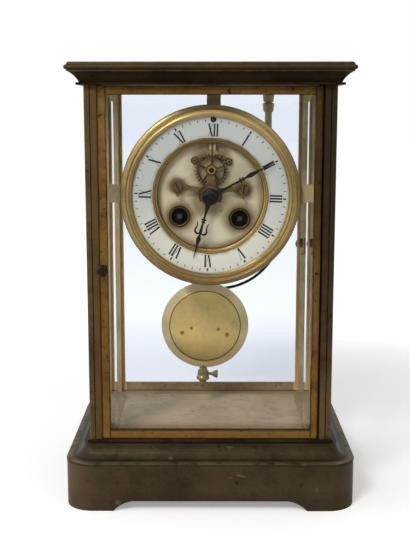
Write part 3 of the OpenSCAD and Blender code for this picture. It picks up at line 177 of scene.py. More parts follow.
class Signal:
    """A shader output that takes part in Python sums."""

    def __init__(self, tree, socket):
        self.tree = tree
        self.socket = socket

    def output(self, name):
        """Another output of the same node."""
        return Signal(self.tree, self.socket.node.outputs[name])

    def maths(self, operation, *values):
        return self.tree.node("ShaderNodeMath", {"operation": operation}, dict(enumerate(values)))

    def __add__(self, other):
        return self.maths("ADD", self, other)

    def __sub__(self, other):
        return self.maths("SUBTRACT", self, other)

    def __rsub__(self, other):
        return self.maths("SUBTRACT", other, self)

    def __mul__(self, other):
        return self.maths("MULTIPLY", self, other)

    __radd__ = __add__
    __rmul__ = __mul__

    def __abs__(self):
        return self.maths("ABSOLUTE", self)

    def power(self, exponent):
        return self.maths("POWER", self, exponent)

    def most(self, other):
        return self.maths("MAXIMUM", self, other)

    def least(self, other):
        return self.maths("MINIMUM", self, other)

    def ramp(self, low, high):
        """0 at low and 1 at high, smooth between, and held beyond them. high may be below low."""
        sockets = {0: self, 1: low, 2: high, 3: 0.0, 4: 1.0}
        settings = {"interpolation_type": "SMOOTHSTEP", "clamp": True}
        if high < low:
            sockets = {0: self, 1: high, 2: low, 3: 1.0, 4: 0.0}
        return self.tree.node("ShaderNodeMapRange", settings, sockets)

    def near(self, place, width):
        """1 where the value is at place, falling to 0 at width on both sides."""
        return abs(self - place).ramp(width, width * 0.3)


class ShaderTree:
    """The nodes of a material or of the world."""

    def __init__(self, owner, output):
        owner.use_nodes = True
        self.nodes = owner.node_tree.nodes
        self.links = owner.node_tree.links
        self.nodes.clear()
        self.surface = self.nodes.new(output).inputs["Surface"]

    def feed(self, socket, value):
        """Links a signal to the socket, or sets a constant on it."""
        if isinstance(value, Signal):
            self.links.new(value.socket, socket)
        else:
            socket.default_value = value

    def node(self, kind, settings=None, sockets=None, output=0):
        """Adds a node with its settings and the values or links of its sockets, and gives one output."""
        made = self.nodes.new(kind)
        for name, value in (settings or {}).items():
            setattr(made, name, value)
        for name, value in (sockets or {}).items():
            self.feed(made.inputs[name], value)
        return Signal(self, made.outputs[output])

    def blend(self, share, first, second):
        """One shader where share is 0 and the other where it is 1."""
        return self.node("ShaderNodeMixShader", {}, {0: share, 1: first, 2: second})

    def show(self, shader):
        self.feed(self.surface, shader)


class Finish(ShaderTree):
    """One material, built from its nodes. Sizes are in millimetres."""

    def __init__(self, name, **constants):
        self.material = bpy.data.materials.new(name)
        super().__init__(self.material, "ShaderNodeOutputMaterial")
        self.shader = self.node("ShaderNodeBsdfPrincipled")
        self.show(self.shader)
        self.set(**constants)
        self.place = self.node("ShaderNodeTexCoord", {}, {}, "Object")
        self.axes = None
        self.tone = None

    def set(self, **values):
        """Feeds the material's own shader, with underscores for the spaces in a socket's name."""
        for name, value in values.items():
            self.feed(self.shader.socket.node.inputs[name.replace("_", " ")], value)

    def coat(self, tone):
        """Gives the whole surface its colour."""
        self.tone = tone
        self.set(Base_Color=tone)

    def paint(self, share, colour):
        """Lays a colour over what is there, where share is 1."""
        self.coat(self.mix(share, self.tone, colour))

    def noise(self, size, detail=4, roughness=0.55, stretch=(1, 1, 1)):
        """Cloudy noise whose patches are about size across."""
        place = self.place
        if stretch != (1, 1, 1):
            place = self.node("ShaderNodeMapping", {}, {"Vector": place, "Scale": stretch})
        sockets = {"Vector": place, "Scale": 1 / (size * MM), "Detail": detail, "Roughness": roughness}
        return self.node("ShaderNodeTexNoise", {}, sockets)

    def specks(self, size, share):
        """Small round specks, one in each cell of that size, over a share of the cells."""
        sockets = {"Vector": self.place, "Scale": 1 / (size * MM)}
        cell = self.node("ShaderNodeTexVoronoi", {}, sockets, "Distance")
        chance = self.node("ShaderNodeSeparateColor", {}, {0: cell.output("Color")})
        return cell.ramp(0.28, 0.12) * chance.ramp(share, share - 0.02)

    def mix(self, share, first, second):
        """One colour where share is 0 and the other where it is 1."""
        settings = {"data_type": "RGBA", "blend_type": "MIX"}
        return self.node("ShaderNodeMix", settings, {0: share, 6: first, 7: second}, 2)

    def axis(self, letter):
        """The x, y or z of a point on the object."""
        if self.axes is None:
            split = self.node("ShaderNodeSeparateXYZ", {}, {0: self.place})
            self.axes = {name: split.output(name) * (1 / MM) for name in "XYZ"}
        return self.axes[letter]

    def distance(self, x, y, z):
        """Distance from a point of the object."""
        sockets = {0: self.place, 1: (x * MM, y * MM, z * MM)}
        return self.node("ShaderNodeVectorMath", {"operation": "DISTANCE"}, sockets, "Value") * (1 / MM)

    def radius(self, x, z):
        """Distance from a line through the case, front to back."""
        across = self.axis("X") - x
        up = self.axis("Z") - z
        return (across * across + up * up).power(0.5)

    def dial_across(self):
        """Distance to the right of the movement's leaning centre line."""
        return self.axis("X") * math.cos(LEAN) - (self.axis("Z") - DIAL_Z) * math.sin(LEAN)

    def upward(self):
        """How the surface faces: 1 up, 0 upright and -1 down."""
        normal = self.node("ShaderNodeNewGeometry", {}, {}, "Normal")
        return self.node("ShaderNodeSeparateXYZ", {}, {0: normal}, "Z")

    def relief(self, height, strength, depth):
        sockets = {"Height": height, "Strength": strength, "Distance": depth * MM}
        self.set(Normal=self.node("ShaderNodeBump", {}, sockets))


# Finishes of the case

def worn_brass(name, tones, roughness=0.42, patch=14, stain=0.5, metal=0.4, relief=0.25, pitted=0.8):
    """Old brass: cloudy patches of a light, a middle and a dark tone, dark pits and a fine rubbed grain."""
    light, middle, dark = [srgb(*tone) for tone in tones]
    finish = Finish(name, Metallic=metal, Specular_IOR_Level=0.08)
    cloud = finish.noise(patch, 6, 0.62)
    mottle = finish.noise(2.2, 5, 0.6)
    pits = finish.noise(5, 3, 0.5).ramp(0.66, 0.76)
    finish.coat(finish.mix((cloud * 0.7 + mottle * 0.3).ramp(0.36, 0.62), middle, light))
    finish.paint(finish.noise(patch * 0.45, 5, 0.7).ramp(0.52, 0.7) * stain, dark)
    finish.paint(pits * pitted, dark)
    finish.set(Roughness=(cloud * 0.16 + mottle * 0.14 + (roughness - 0.15)) + pits * 0.2)
    grain = finish.noise(0.5, 3, 0.6)
    finish.relief(grain * 0.5 + mottle - pits * 0.6, relief, 0.08)
    return finish


def base_finish():
    """Olive brown, browner on the wall, with wear and painted highlights on the bead, painted shade in the
    quirks beside it, and dark coves and feet.
    """
    tones = ((70, 62, 44), (53, 46, 33), (34, 28, 18))
    finish = worn_brass("base_patina", tones, roughness=0.5, patch=34, stain=0.45)
    z = finish.axis("Z")
    wall = z.ramp(BEAD_TOP - 0.4, BEAD_TOP - 7.4)
    brown = finish.noise(26, 4, 0.6, (1, 1, 0.6)).ramp(0.45, 0.68)
    finish.paint(brown * wall * 0.4, srgb(84, 60, 38))
    left_end = finish.axis("X").ramp(39.6 - BASE_HALF_W, 4.6 - BASE_HALF_W)
    left_end = left_end * z.ramp(BEAD_TOP + 0.6, BEAD_TOP - 3.4)
    finish.paint(left_end * 0.5, srgb(104, 82, 58))
    scuffs = finish.noise(7, 2, 0.5, (0.35, 1, 1)).ramp(0.7, 0.74) * finish.noise(14, 2).ramp(0.5, 0.6)
    finish.paint(scuffs * 0.3, srgb(140, 124, 94))
    finish.paint(finish.specks(9, 0.05) * 0.35, srgb(140, 126, 98))
    # wear and painted highlights along the bead
    bead_wear_and_highlight = z.near(BEAD_TOP - 0.1, 0.35).most(z.near(BASE_WALL_H + 0.1, 0.3))
    finish.paint(bead_wear_and_highlight * finish.noise(6).ramp(0.35, 0.55) * 0.5, srgb(128, 112, 84))
    # painted shade in the quirks beside the bead
    quirks = z.near(BEAD_TOP - 1, 0.5).most(z.near(BEAD_TOP + 0.8, 0.5))
    finish.paint(quirks * 0.6, srgb(28, 22, 14))
    upper_cove = z.ramp(DECK_TOP - 6, DECK_TOP - 0.6)
    finish.paint(upper_cove * 0.1, srgb(34, 28, 18))
    deck = z.ramp(DECK_TOP - 0.5, DECK_TOP)
    finish.paint(deck * 0.8, srgb(26, 20, 12))
    feet = z.ramp(16, 6)
    finish.paint(feet * 0.3, srgb(36, 28, 18))
    return finish.material


def cornice_finish():
    """Brown, paler on the top block, with painted shade on the faces that look down, and wear and painted
    highlights along its edges.
    """
    tones = ((68, 53, 33), (50, 37, 22), (30, 20, 11))
    finish = worn_brass("cornice_patina", tones, roughness=0.5, patch=30, stain=0.4)
    z = finish.axis("Z")
    top_block = z.ramp(CORNICE_STEP - 0.6, CORNICE_STEP + 0.2)
    finish.paint(top_block * 0.45, srgb(82, 68, 44))
    # painted shade: the faces that look down are darkened
    underside = finish.upward().ramp(-0.15, -0.8)
    finish.paint(underside * 0.55, srgb(30, 20, 11))
    # wear and painted highlights along the cornice edges
    edges = z.near(CORNICE_STEP, 0.4).most(z.near(CORNICE_TOP - 0.3, 0.4))
    edges = edges.most(z.near(CORNICE_TOP - 2.4, 0.3) * 0.7)
    finish.paint(edges * finish.noise(5).ramp(0.35, 0.6) * 0.55, srgb(116, 102, 70))
    return finish.material


def door_finish():
    """Dull gilding, dark up the right stile, spotted, and lined with dirt and painted shade along every edge.
    """
    tones = ((136, 103, 53), (111, 82, 40), (56, 39, 19))
    finish = worn_brass("door_gilding", tones, patch=18, metal=0.45)
    across = finish.axis("X")
    x = abs(across)
    z = finish.axis("Z")
    top_rail = z.ramp(DOOR_TOP - 9.2, DOOR_TOP - 4.2)
    finish.paint(top_rail * 0.3, srgb(76, 50, 20))
    bottom_rail = z.ramp(DOOR_BOTTOM + 8.1, DOOR_BOTTOM + 4.1)
    finish.paint(bottom_rail * 0.5, srgb(150, 114, 58))
    right_stile = across.ramp(DOOR_OPENING_HALF - 2.8, DOOR_OPENING_HALF + 1.2) * z.ramp(120, 230)
    finish.paint(right_stile * 0.7, srgb(46, 36, 27))
    # dirt and painted shade along the door's edges and round its opening
    ragged = x + (finish.noise(9, 3) * 1.1 - 0.55)
    sides = ragged.near(DOOR_HALF, 0.9).most(ragged.near(DOOR_OPENING_HALF, 0.7))
    ends = z.near(DOOR_BOTTOM, 0.9).most(z.near(DOOR_TOP, 0.9))
    rails = z.near(DOOR_BOTTOM + DOOR_RAIL, 0.6).most(z.near(DOOR_TOP - DOOR_RAIL, 0.6))
    opening = x.ramp(DOOR_OPENING_HALF + 0.7, DOOR_OPENING_HALF - 0.3)
    finish.paint(sides.most(ends).most(rails * opening) * 0.75, EDGE_DIRT_AND_SHADE)
    spots = finish.noise(3.4, 2, 0.5).ramp(0.68, 0.72)
    finish.paint(spots * 0.85, srgb(32, 20, 10))
    return finish.material


def back_door_finish():
    """Pale inside the case, and as brown as the front door outside, with painted light on the inner stiles
    that stand in the stop's shade.
    """
    tones = ((172, 148, 112), (150, 126, 92), (88, 70, 46))
    finish = worn_brass("back_gilding", tones, roughness=0.55, patch=18, stain=0.4, metal=0.2)
    x = abs(finish.axis("X"))
    z = finish.axis("Z")
    outside = finish.axis("Y").ramp(BODY_HALF_D - 1.8, BODY_HALF_D - 0.8)
    brown = finish.mix(finish.noise(18, 5).ramp(0.4, 0.6), srgb(136, 104, 56), srgb(100, 74, 36))
    finish.paint(outside * 0.9, brown)
    # dirt and painted shade along the back door's outer edges
    edges = x.near(DOOR_HALF, 0.9).most(z.near(DOOR_BOTTOM, 0.9)).most(z.near(DOOR_TOP, 0.9))
    finish.paint(edges * outside * 0.75, EDGE_DIRT_AND_SHADE)
    # painted light: the inner stiles are lightened where the stop shades them
    painted_light_stiles = outside.ramp(0.5, 0) * x.ramp(DOOR_OPENING_HALF - 1.8, DOOR_OPENING_HALF - 0.8)
    finish.paint(painted_light_stiles * 0.9, srgb(232, 200, 146))
    return finish.material


def post_brass(name):
    """Olive brass, duller on the right and golden on the left beside the door, with painted shade in the
    grooves and the door's seam.
    """
    finish = worn_brass(name, ((102, 84, 57), (84, 68, 45), (46, 35, 22)), patch=26)
    across = finish.axis("X")
    x = abs(across)
    y = abs(finish.axis("Y"))
    dull = across.ramp(0, 1) * finish.axis("Z").ramp(60, 190)
    finish.paint(dull * 0.75, srgb(46, 37, 25))
    # painted shade in the grooves and in the seam beside the door
    front_groove = x.near(BODY_HALF_W - POST_GROOVE, 0.55) * y.ramp(BODY_HALF_D - 1.2, BODY_HALF_D - 0.8)
    side_groove = y.near(BODY_HALF_D - POST_GROOVE, 0.55) * x.ramp(BODY_HALF_W - 1.2, BODY_HALF_W - 0.8)
    door_seam = x.near(POST_IN_X, 0.8) * y.ramp(BODY_HALF_D - 6, BODY_HALF_D - 2)
    finish.paint(front_groove.most(side_groove).most(door_seam) * 0.85, srgb(24, 17, 10))
    beside_door = x.ramp(BODY_HALF_W - 3.9, BODY_HALF_W - 4.5) * across.ramp(1, 0)
    finish.paint(beside_door * y.ramp(BODY_HALF_D - 1.5, BODY_HALF_D - 0.5) * 0.5, srgb(106, 78, 42))
    return finish


def post_finish():
    return post_brass("post_brass").material


def back_post_finish():
    """The posts' brass, kept pale on the sides that stand inside the case."""
    finish = post_brass("back_post_brass")
    across = finish.axis("X")
    from_side = abs(across).ramp(BODY_HALF_W - 1.4, BODY_HALF_W - 1.9)
    inside = from_side * finish.axis("Y").ramp(BODY_HALF_D - 1.4, BODY_HALF_D - 1.9)
    pale = finish.mix(finish.noise(20, 5).ramp(0.4, 0.6), srgb(208, 186, 148), srgb(182, 162, 124))
    pale = finish.mix(across.ramp(1, 0) * 0.5, pale, srgb(172, 142, 94))
    finish.paint(inside, pale)
    finish.set(Metallic=inside * -0.2 + 0.4)
    return finish.material


def floor_finish():
    """Pale brushed brass inside the case, darker at the front, and as brown as the base outside it."""
    tones = ((200, 180, 152), (180, 160, 132), (134, 116, 90))
    finish = worn_brass("floor_brass", tones, roughness=0.5, patch=30, stain=0.4, metal=0.15)
    x = abs(finish.axis("X"))
    depth = finish.axis("Y")
    y = abs(depth)
    border = x.ramp(PANEL_HALF_W, PANEL_HALF_W + 1.4).most(y.ramp(PANEL_HALF_D, PANEL_HALF_D + 1.4))
    finish.paint(border * 0.4, srgb(130, 110, 80))
    finish.paint(depth.ramp(-20, -44) * 0.9, srgb(112, 95, 70))
    brushed = finish.noise(1.2, 3, 0.6, (0.08, 1, 1))
    finish.paint(brushed.ramp(0.5, 0.7) * 0.25, srgb(126, 110, 88))
    front_dirt = depth.ramp(-40, -48) * finish.noise(4, 3).ramp(0.5, 0.65)
    finish.paint(front_dirt * 0.5, srgb(74, 56, 34))
    finish.paint(finish.specks(6, 0.1) * 0.35, srgb(96, 78, 52))
    outside = x.ramp(PANE_IN_X - 1.5, PANE_IN_X).most(y.ramp(DOOR_IN_Y - 1, DOOR_IN_Y))
    brown = finish.mix(finish.noise(24).ramp(0.4, 0.6), srgb(58, 49, 33), srgb(40, 33, 21))
    finish.paint(outside, brown)
    return finish.material


def plain_brass(name, tones, roughness=0.38):
    """Evenly browned brass with more shine and fewer stains than the case."""
    return worn_brass(name, tones, roughness, stain=0.3, metal=0.6).material


def knob_finish():
    return plain_brass("knob_bronze", ((62, 47, 28), (48, 35, 20), (28, 19, 11)))


# The flange is painted near black: painted shade under the cornice.
def flange_finish():
    return plain_brass("flange_brass", ((52, 39, 24), (36, 25, 15), (22, 15, 8)), roughness=0.5)


def clear_glass(name, tint, haze):
    """Glass that light and shadow rays pass straight through, so the clock inside is lit."""
    finish = Finish(name, Base_Color=tint, Roughness=0.0, IOR=1.35, Transmission_Weight=1.0)
    path = finish.node("ShaderNodeLightPath")
    straight = path.output("Is Shadow Ray").most(path.output("Is Diffuse Ray"))
    through = finish.node("ShaderNodeBsdfTransparent", {}, {"Color": haze})
    finish.show(finish.blend(straight, finish.shader, through))
    return finish


def side_glass():
    return clear_glass("blue_glass", srgb(235, 242, 255), srgb(244, 249, 254)).material


def front_glass():
    """Clear, with brown grime that has settled in the lower bevel."""
    clear = srgb(255, 255, 254)
    finish = clear_glass("front_glass", clear, srgb(250, 250, 248))
    grime = finish.axis("Z").ramp(BEVEL_TOP, BEVEL_TOP - 3)
    finish.set(Base_Color=finish.mix(grime * 0.8, clear, srgb(200, 186, 158)))
    return finish.material


# Finishes of the dial

def turned_gilding(name, tones, shade_lines):
    """Gilt brass turned on a lathe: fine rings, with dark rings of painted shade along the turned steps at
    the given radii of the dial.
    """
    finish = worn_brass(name, tones, roughness=0.38, patch=60, stain=0.15, metal=0.6, relief=0.04)
    _, middle, dark = [srgb(*tone) for tone in tones]
    radius = finish.radius(0, DIAL_Z)
    # painted shade along the turned steps
    for place, width, share in shade_lines:
        finish.paint(radius.near(place, width) * share, dark)
    sockets = {"W": radius, "Scale": 2.2, "Detail": 3}
    fine = finish.node("ShaderNodeTexNoise", {"noise_dimensions": "1D"}, sockets)
    finish.paint(fine.ramp(0.45, 0.65) * 0.35, middle)
    return finish


def bezel_finish():
    """Painted highlight at the top and painted shade at the bottom."""
    tones = ((194, 168, 112), (168, 144, 92), (66, 48, 26))
    shade_lines = ((61.6, 1.1, 0.85), (57.2, 0.5, 0.6), (55.4, 0.4, 0.45), (53.4, 0.9, 0.6))
    finish = turned_gilding("bezel_gilding", tones, shade_lines)
    finish.set(Metallic=0.4)
    up = finish.axis("Z") - DIAL_Z
    # painted highlight on the top of the bezel, painted shade on the bottom
    finish.paint(up.ramp(20, 60) * 0.6, srgb(232, 206, 142))
    finish.paint(up.ramp(-20, -58) * 0.4, srgb(122, 98, 58))
    return finish.material


def ring_finish():
    """The recess ring, and the winding hole collars, darkened, with oily stain and painted shade blackening
    the holes.
    """
    tones = ((184, 156, 98), (150, 124, 76), (56, 40, 20))
    shade_lines = ((39.4, 0.6, 0.8), (37.6, 0.4, 0.5), (36.2, 0.6, 0.8))
    finish = turned_gilding("ring_gilding", tones, shade_lines)
    shine = 0.55
    for hole in WINDING_HOLES:
        from_hole = finish.radius(*hole)
        collar = from_hole.ramp(11, 8)
        finish.paint(collar * 0.9, srgb(84, 66, 38))
        # oily stain and painted shade in and round each winding hole
        oily_and_hole_shade = from_hole.near(6.9, 0.5).most(from_hole.ramp(6.0, 5.6))
        finish.paint(oily_and_hole_shade * 0.85, srgb(26, 19, 11))
        shine = collar * -0.25 + shine
    finish.set(Metallic=shine)
    return finish.material


def strap_finish():
    tones = ((240, 228, 190), (222, 208, 166), (130, 112, 76))
    finish = worn_brass("strap_brass", tones, stain=0.3, metal=0.2)
    right_strap = finish.axis("X").ramp(-5, 5)
    finish.paint(right_strap * 0.75, srgb(166, 148, 108))
    return finish.material


def enamel_ring_finish():
    """White enamel, bluer above, with grime along both its edges."""
    finish = Finish("white_enamel", Metallic=0.0, Roughness=0.2, Coat_Weight=0.15, Coat_Roughness=0.1)
    up = finish.axis("Z") - DIAL_Z
    radius = finish.distance(0, ENAMEL_FRONT, DIAL_Z)
    cloud = finish.noise(20, 4, 0.6)
    warmth = (cloud * 0.5 + up.ramp(23.3, -46.7) * 0.6).ramp(0.25, 0.85)
    finish.coat(finish.mix(warmth, srgb(190, 197, 199), srgb(217, 219, 211)))
    inner_grime = radius.ramp(ENAMEL_IN_R + 2, ENAMEL_IN_R - 0.3) * finish.noise(6, 4).ramp(0.3, 0.6)
    finish.paint(inner_grime * 0.6, srgb(150, 132, 92))
    outer_grime = radius.ramp(MARK_OUT_R + 0.1, MARK_OUT_R + 1.9)
    finish.paint(outer_grime * 0.55, srgb(164, 150, 112))
    return finish.material


def recess_finish():
    """Cream enamel, stained brown round each hole and along its edge."""
    finish = Finish("cream_enamel", Metallic=0.0, Roughness=0.3, Coat_Weight=0.15, Coat_Roughness=0.15)
    cloud = finish.noise(16, 5, 0.65)
    wide_ripple = cloud * 8 - 4
    ripple = cloud * 5 - 2.5

    def away(place):
        """Distance from a place on the enamel."""
        return finish.distance(place[0], RECESS_FRONT, place[1])

    finish.coat(finish.mix(cloud.ramp(0.35, 0.65), srgb(196, 188, 157), srgb(214, 206, 176)))
    # a paler patch low on the dish
    paler_patch = (away(dial_point(3, -25)) + wide_ripple).ramp(16, 4)
    finish.paint(paler_patch * 0.6, srgb(214, 209, 192))
    dull = (away(dial_point(24, 14)) + wide_ripple).ramp(24, 8)
    finish.paint(dull * 0.5, srgb(162, 156, 132))

    stain = (away((0, DIAL_Z)) + ripple).ramp(31, 36.8) * 0.85
    stained = [(hole, 16, 1) for hole in WINDING_HOLES]
    stained += [(COCK_SCREWS[0], 9, 0.9), (COCK_SCREWS[1], 9, 0.7), (ESCAPE_ARBOR, 18, 0.8)]
    stained += [(dial_point(-2, -3), 17, 0.95), (dial_point(0, 33), 19, 1)]
    for place, reach, share in stained:
        stain = stain.most((away(place) + ripple).ramp(reach, reach * 0.45) * share)
    finish.paint(stain * 0.8, srgb(114, 88, 52))
    for places, reach in ((WINDING_HOLES, 10.5), (COCK_SCREWS, 7)):
        for place in places:
            finish.paint(away(place).ramp(reach, reach * 0.65) * 0.6, srgb(86, 62, 32))
    finish.paint(finish.specks(7, 0.14) * 0.4, srgb(112, 92, 58))
    return finish.material


def black_enamel():
    finish = Finish("black_enamel", Metallic=0.0, Roughness=0.5, Specular_IOR_Level=0.2)
    finish.coat(finish.mix(finish.noise(1.5).ramp(0.4, 0.7), srgb(10, 12, 13), srgb(26, 28, 27)))
    return finish.material


def pan_finish():
    return plain_brass("dull_bronze", ((128, 104, 68), (104, 80, 50), (62, 46, 30)))


# Finishes of the movement

def cock_finish():
    """Brass, with rings of painted shade round its screws and its hub, redder in its neck, and a polished
    bush round the arbor with a painted highlight and painted shade in its hole.
    """
    tones = ((120, 102, 68), (98, 80, 50), (54, 41, 24))
    finish = worn_brass("cock_bronze", tones, roughness=0.44, patch=9, metal=0.35)
    rings = [(screw, 3.75, 0.35) for screw in COCK_SCREWS]
    rings += [(dial_point(0, 0), 7.6, 1.6), (ESCAPE_ARBOR, 3.6, 0.4)]
    # painted shade along the edges of the screw heads and the hub
    for place, radius, width in rings:
        finish.paint(finish.radius(*place).near(radius, width) * 0.65, srgb(52, 38, 22))
    neck = finish.radius(*dial_point(0, 9)).ramp(5.5, 2.5)
    finish.paint(neck * 0.35, srgb(138, 104, 72))
    from_arbor = finish.radius(*ESCAPE_ARBOR)
    # polished bush with a painted highlight, and painted shade in the pivot hole
    finish.paint(from_arbor.near(2.3, 0.5) * 0.7, srgb(176, 158, 116))
    finish.paint(from_arbor.ramp(1.7, 1.3) * 0.9, srgb(44, 34, 20))
    return finish.material


def anchor_finish():
    """Dull brass, pale in the stem with a dark seam down it, and darkest round the two pallet pins."""
    tones = ((140, 124, 94), (116, 100, 74), (74, 58, 38))
    finish = worn_brass("anchor_brass", tones, roughness=0.44, patch=7, stain=0.4, metal=0.3)
    from_stem = finish.radius(*ANCHOR_STEM)
    finish.paint(from_stem.ramp(5.5, 3.5) * 0.6, srgb(176, 158, 122))
    seam = finish.dial_across().near(0, 0.8) * from_stem.ramp(5, 3.5)
    finish.paint(seam * 0.7, srgb(82, 62, 42))
    for pin in PALLET_PINS:
        from_pin = finish.radius(*pin)
        finish.paint(from_pin.near(2.3, 0.9) * 0.8, srgb(48, 36, 22))
        finish.paint(from_pin.ramp(1.0, 0.7) * 0.8, srgb(36, 28, 20))
    return finish.material


def pallet_cock_finish():
    """Cream brass, with painted shade in the slit and along both edges, and darker towards the top."""
    tones = ((178, 160, 124), (152, 134, 98), (96, 76, 50))
    finish = worn_brass("pallet_brass", tones, roughness=0.46, patch=7, stain=0.4, metal=0.3, relief=0.2)
    across = abs(finish.dial_across())
    # painted shade in the slit and along both edges
    slit = across.ramp(0.9, 0.5)
    edges = across.ramp(2.0, 2.6)
    finish.paint(slit.most(edges) * 0.8, srgb(70, 52, 34))
    top = (finish.axis("Z") - DIAL_Z).ramp(33, 36)
    finish.paint(top * 0.5, srgb(96, 76, 50))
    return finish.material


def sleeve_finish():
    tones = ((150, 138, 104), (116, 104, 74), (62, 52, 34))
    return worn_brass("olive_brass", tones, roughness=0.34, patch=6, stain=0.4).material


def suspension_finish():
    tones = ((206, 190, 146), (176, 160, 118), (118, 102, 70))
    return worn_brass("pale_bronze", tones, stain=0.3, metal=0.2).material


def escape_wheel_finish():
    tones = ((88, 74, 52), (64, 52, 36), (38, 29, 18))
    return worn_brass("escape_brass", tones, roughness=0.4, patch=6, stain=0.4).material


def wheel_finish():
    """Cleaner brass of the wheels, with the steel end of the centre arbor."""
    tones = ((180, 154, 100), (150, 124, 76), (100, 76, 44))
    finish = worn_brass("wheel_brass", tones, roughness=0.32, stain=0.3, metal=0.6)
    arbor_end = finish.axis("Y").ramp(HANDS_FRONT, HANDS_FRONT - 1)
    finish.paint(arbor_end, srgb(58, 56, 60))
    return finish.material


def bob_finish():
    """Bright gilt brass with a pale turned rim, dull below, and four brown marks on its face."""
    tones = ((250, 224, 152), (238, 210, 138), (168, 138, 82))
    finish = worn_brass("bob_brass", tones, roughness=0.4, patch=24, stain=0.25, metal=0.3, pitted=0.1)
    x, z = dial_point(0, -BOB_DROP)
    radius = finish.distance(x, BOB_FACE, z)
    up = finish.axis("Z") - z
    low = (up + finish.noise(18, 3) * 10 - 5).ramp(-4, -28)
    finish.paint(low * 0.8, srgb(142, 116, 70))
    left_rim = radius.ramp(BOB_RIM_R - 0.8, BOB_RIM_R + 0.2) * finish.axis("X").ramp(-6, -24)
    finish.paint(left_rim * 0.5, srgb(176, 150, 108))
    finish.paint(radius.ramp(BOB_RIM_R - 0.6, BOB_RIM_R + 0.4) * 0.6, srgb(226, 210, 172))
    finish.paint(radius.near(BOB_RIM_R - 1.2, 0.6) * 0.8, srgb(74, 56, 30))
    for across, above, reach in ((-17, -6.2, 2.0), (17, -6.2, 2.0), (-10.2, -2.2, 1.6), (10.2, -2.2, 1.6)):
        mark = finish.radius(*dial_point(across, above - BOB_DROP))
        finish.paint(mark.ramp(reach, reach * 0.5) * 0.6, srgb(110, 74, 34))
    turned = finish.noise(0.8, 2, 0.5)
    finish.set(Roughness=turned * 0.08 + radius.ramp(BOB_RIM_R - 2, BOB_RIM_R) * -0.06 + 0.34)
    return finish.material


def worn_steel(name, light, dark, roughness, metal):
    """Steel with clouds of two greys and fine scratches from front to back."""
    finish = Finish(name, Metallic=metal)
    cloud = finish.noise(6, 4, 0.6)
    scratch = finish.noise(0.8, 3, 0.6, (1, 0.12, 1))
    finish.coat(finish.mix((cloud * 0.7 + scratch * 0.3).ramp(0.38, 0.62), srgb(*light), srgb(*dark)))
    finish.set(Roughness=scratch * 0.15 + roughness)
    finish.relief(scratch, 0.15, 0.04)
    return finish


def bright_steel():
    return worn_steel("bright_steel", (140, 138, 132), (92, 88, 82), 0.3, 0.8).material


def blued_steel():
    return worn_steel("blued_steel", (44, 38, 42), (28, 23, 25), 0.34, 0.5).material


def screw_finish():
    """Steel screws, browned where they hold the cock, with painted shade blackening the slots there."""
    finish = worn_steel("screw_steel", (120, 116, 108), (80, 74, 66), 0.34, 0.6)
    y = finish.axis("Y")
    browned = y.ramp(COCK_SCREW_BACK, COCK_SCREW_BACK - 3)
    # painted shade in the slots of the cock's screws
    depth = y - COCK_SCREW_FRONT
    slot = depth.ramp(0, 0.25) * depth.ramp(1, 0.7)
    for screw in COCK_SCREWS:
        head = finish.radius(*screw).ramp(COCK_SCREW_R + 0.2, COCK_SCREW_R - 0.1)
        finish.paint(head * browned, srgb(112, 94, 64))
        finish.paint(head * slot, srgb(20, 14, 10))
    return finish.material


def winding_finish():
    """Steel painted near black behind the dial as the shade inside the winding holes, and oily; rubbed grey
    on the end of the winding square.
    """
    # painted shade: the steel behind the dial is near black
    finish = worn_steel("winding_steel", (30, 27, 22), (14, 12, 9), 0.5, 0.3)
    square_end = finish.axis("Y").ramp(ARBOR_FRONT + 2.5, ARBOR_FRONT + 0.5)
    for hole in WINDING_HOLES:
        finish.paint(square_end * finish.radius(*hole).ramp(2.6, 0.6), srgb(70, 71, 66))
    finish.set(Specular_IOR_Level=0.1)
    return finish.material


# Pieces that the scene adds

def new_piece(name, bm, material):
    """Makes a shape a piece that stands with the case."""
    mesh = bpy.data.meshes.new(name)
    bm.to_mesh(mesh)
    bm.free()
    piece = bpy.data.objects.new(name, mesh)
    bpy.context.scene.collection.objects.link(piece)
    mesh.materials.append(material)
    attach(piece, "case")
    return piece


def movement_matrix():
    """From the movement's own frame to the case's frame, in metres."""
    return Matrix.Translation((0, 0, DIAL_Z * MM)) @ Matrix.Rotation(LEAN, 4, "Y") @ Matrix.Scale(MM, 4)


def enamel_height(radius):
    """How far forward the domed enamel ring stands at a radius, as a y."""
    share = (radius - ENAMEL_IN_R) / (ENAMEL_OUT_R - ENAMEL_IN_R)
    return ENAMEL_FRONT - 4 * ENAMEL_DOME * share * (1 - share)


def stroke(bm, start, end, width):
    """A painted stroke between two points of the dial: a plate, cut across so that it follows the dome."""
    run = Vector((end[0] - start[0], end[1] - start[1]))
    middle = ((start[0] + end[0]) / 2, (start[1] + end[1]) / 2)
    turn = Matrix.Rotation(math.atan2(run.x, run.y), 4, "Y")
    size = Matrix.Diagonal((width, 1, run.length, 1))
    place = Matrix.Translation((middle[0], 0, middle[1])) @ turn @ size
    made = bmesh.ops.create_cube(bm, size=1, matrix=place)["verts"]
    edges = {edge for vert in made for edge in vert.link_edges}
    flat = [edge for edge in edges if abs(edge.verts[0].co.y - edge.verts[1].co.y) < 0.5]
    long_edges = [edge for edge in flat if edge.calc_length() > run.length * 0.9]
    bmesh.ops.subdivide_edges(bm, edges=long_edges, cuts=4, use_grid_fill=True)


def painted_piece(name, bm, material):
    """Makes strokes a piece, set into the enamel so that only a film of paint stands proud of it."""
    for vert in bm.verts:
        proud = PAINT_FILM if vert.co.y < 0 else -PAINT_ROOT
        vert.co.y = enamel_height(math.hypot(vert.co.x, vert.co.z)) - proud
    bmesh.ops.transform(bm, matrix=movement_matrix(), verts=bm.verts)
    bmesh.ops.recalc_face_normals(bm, faces=bm.faces)
    return new_piece(name, bm, material)


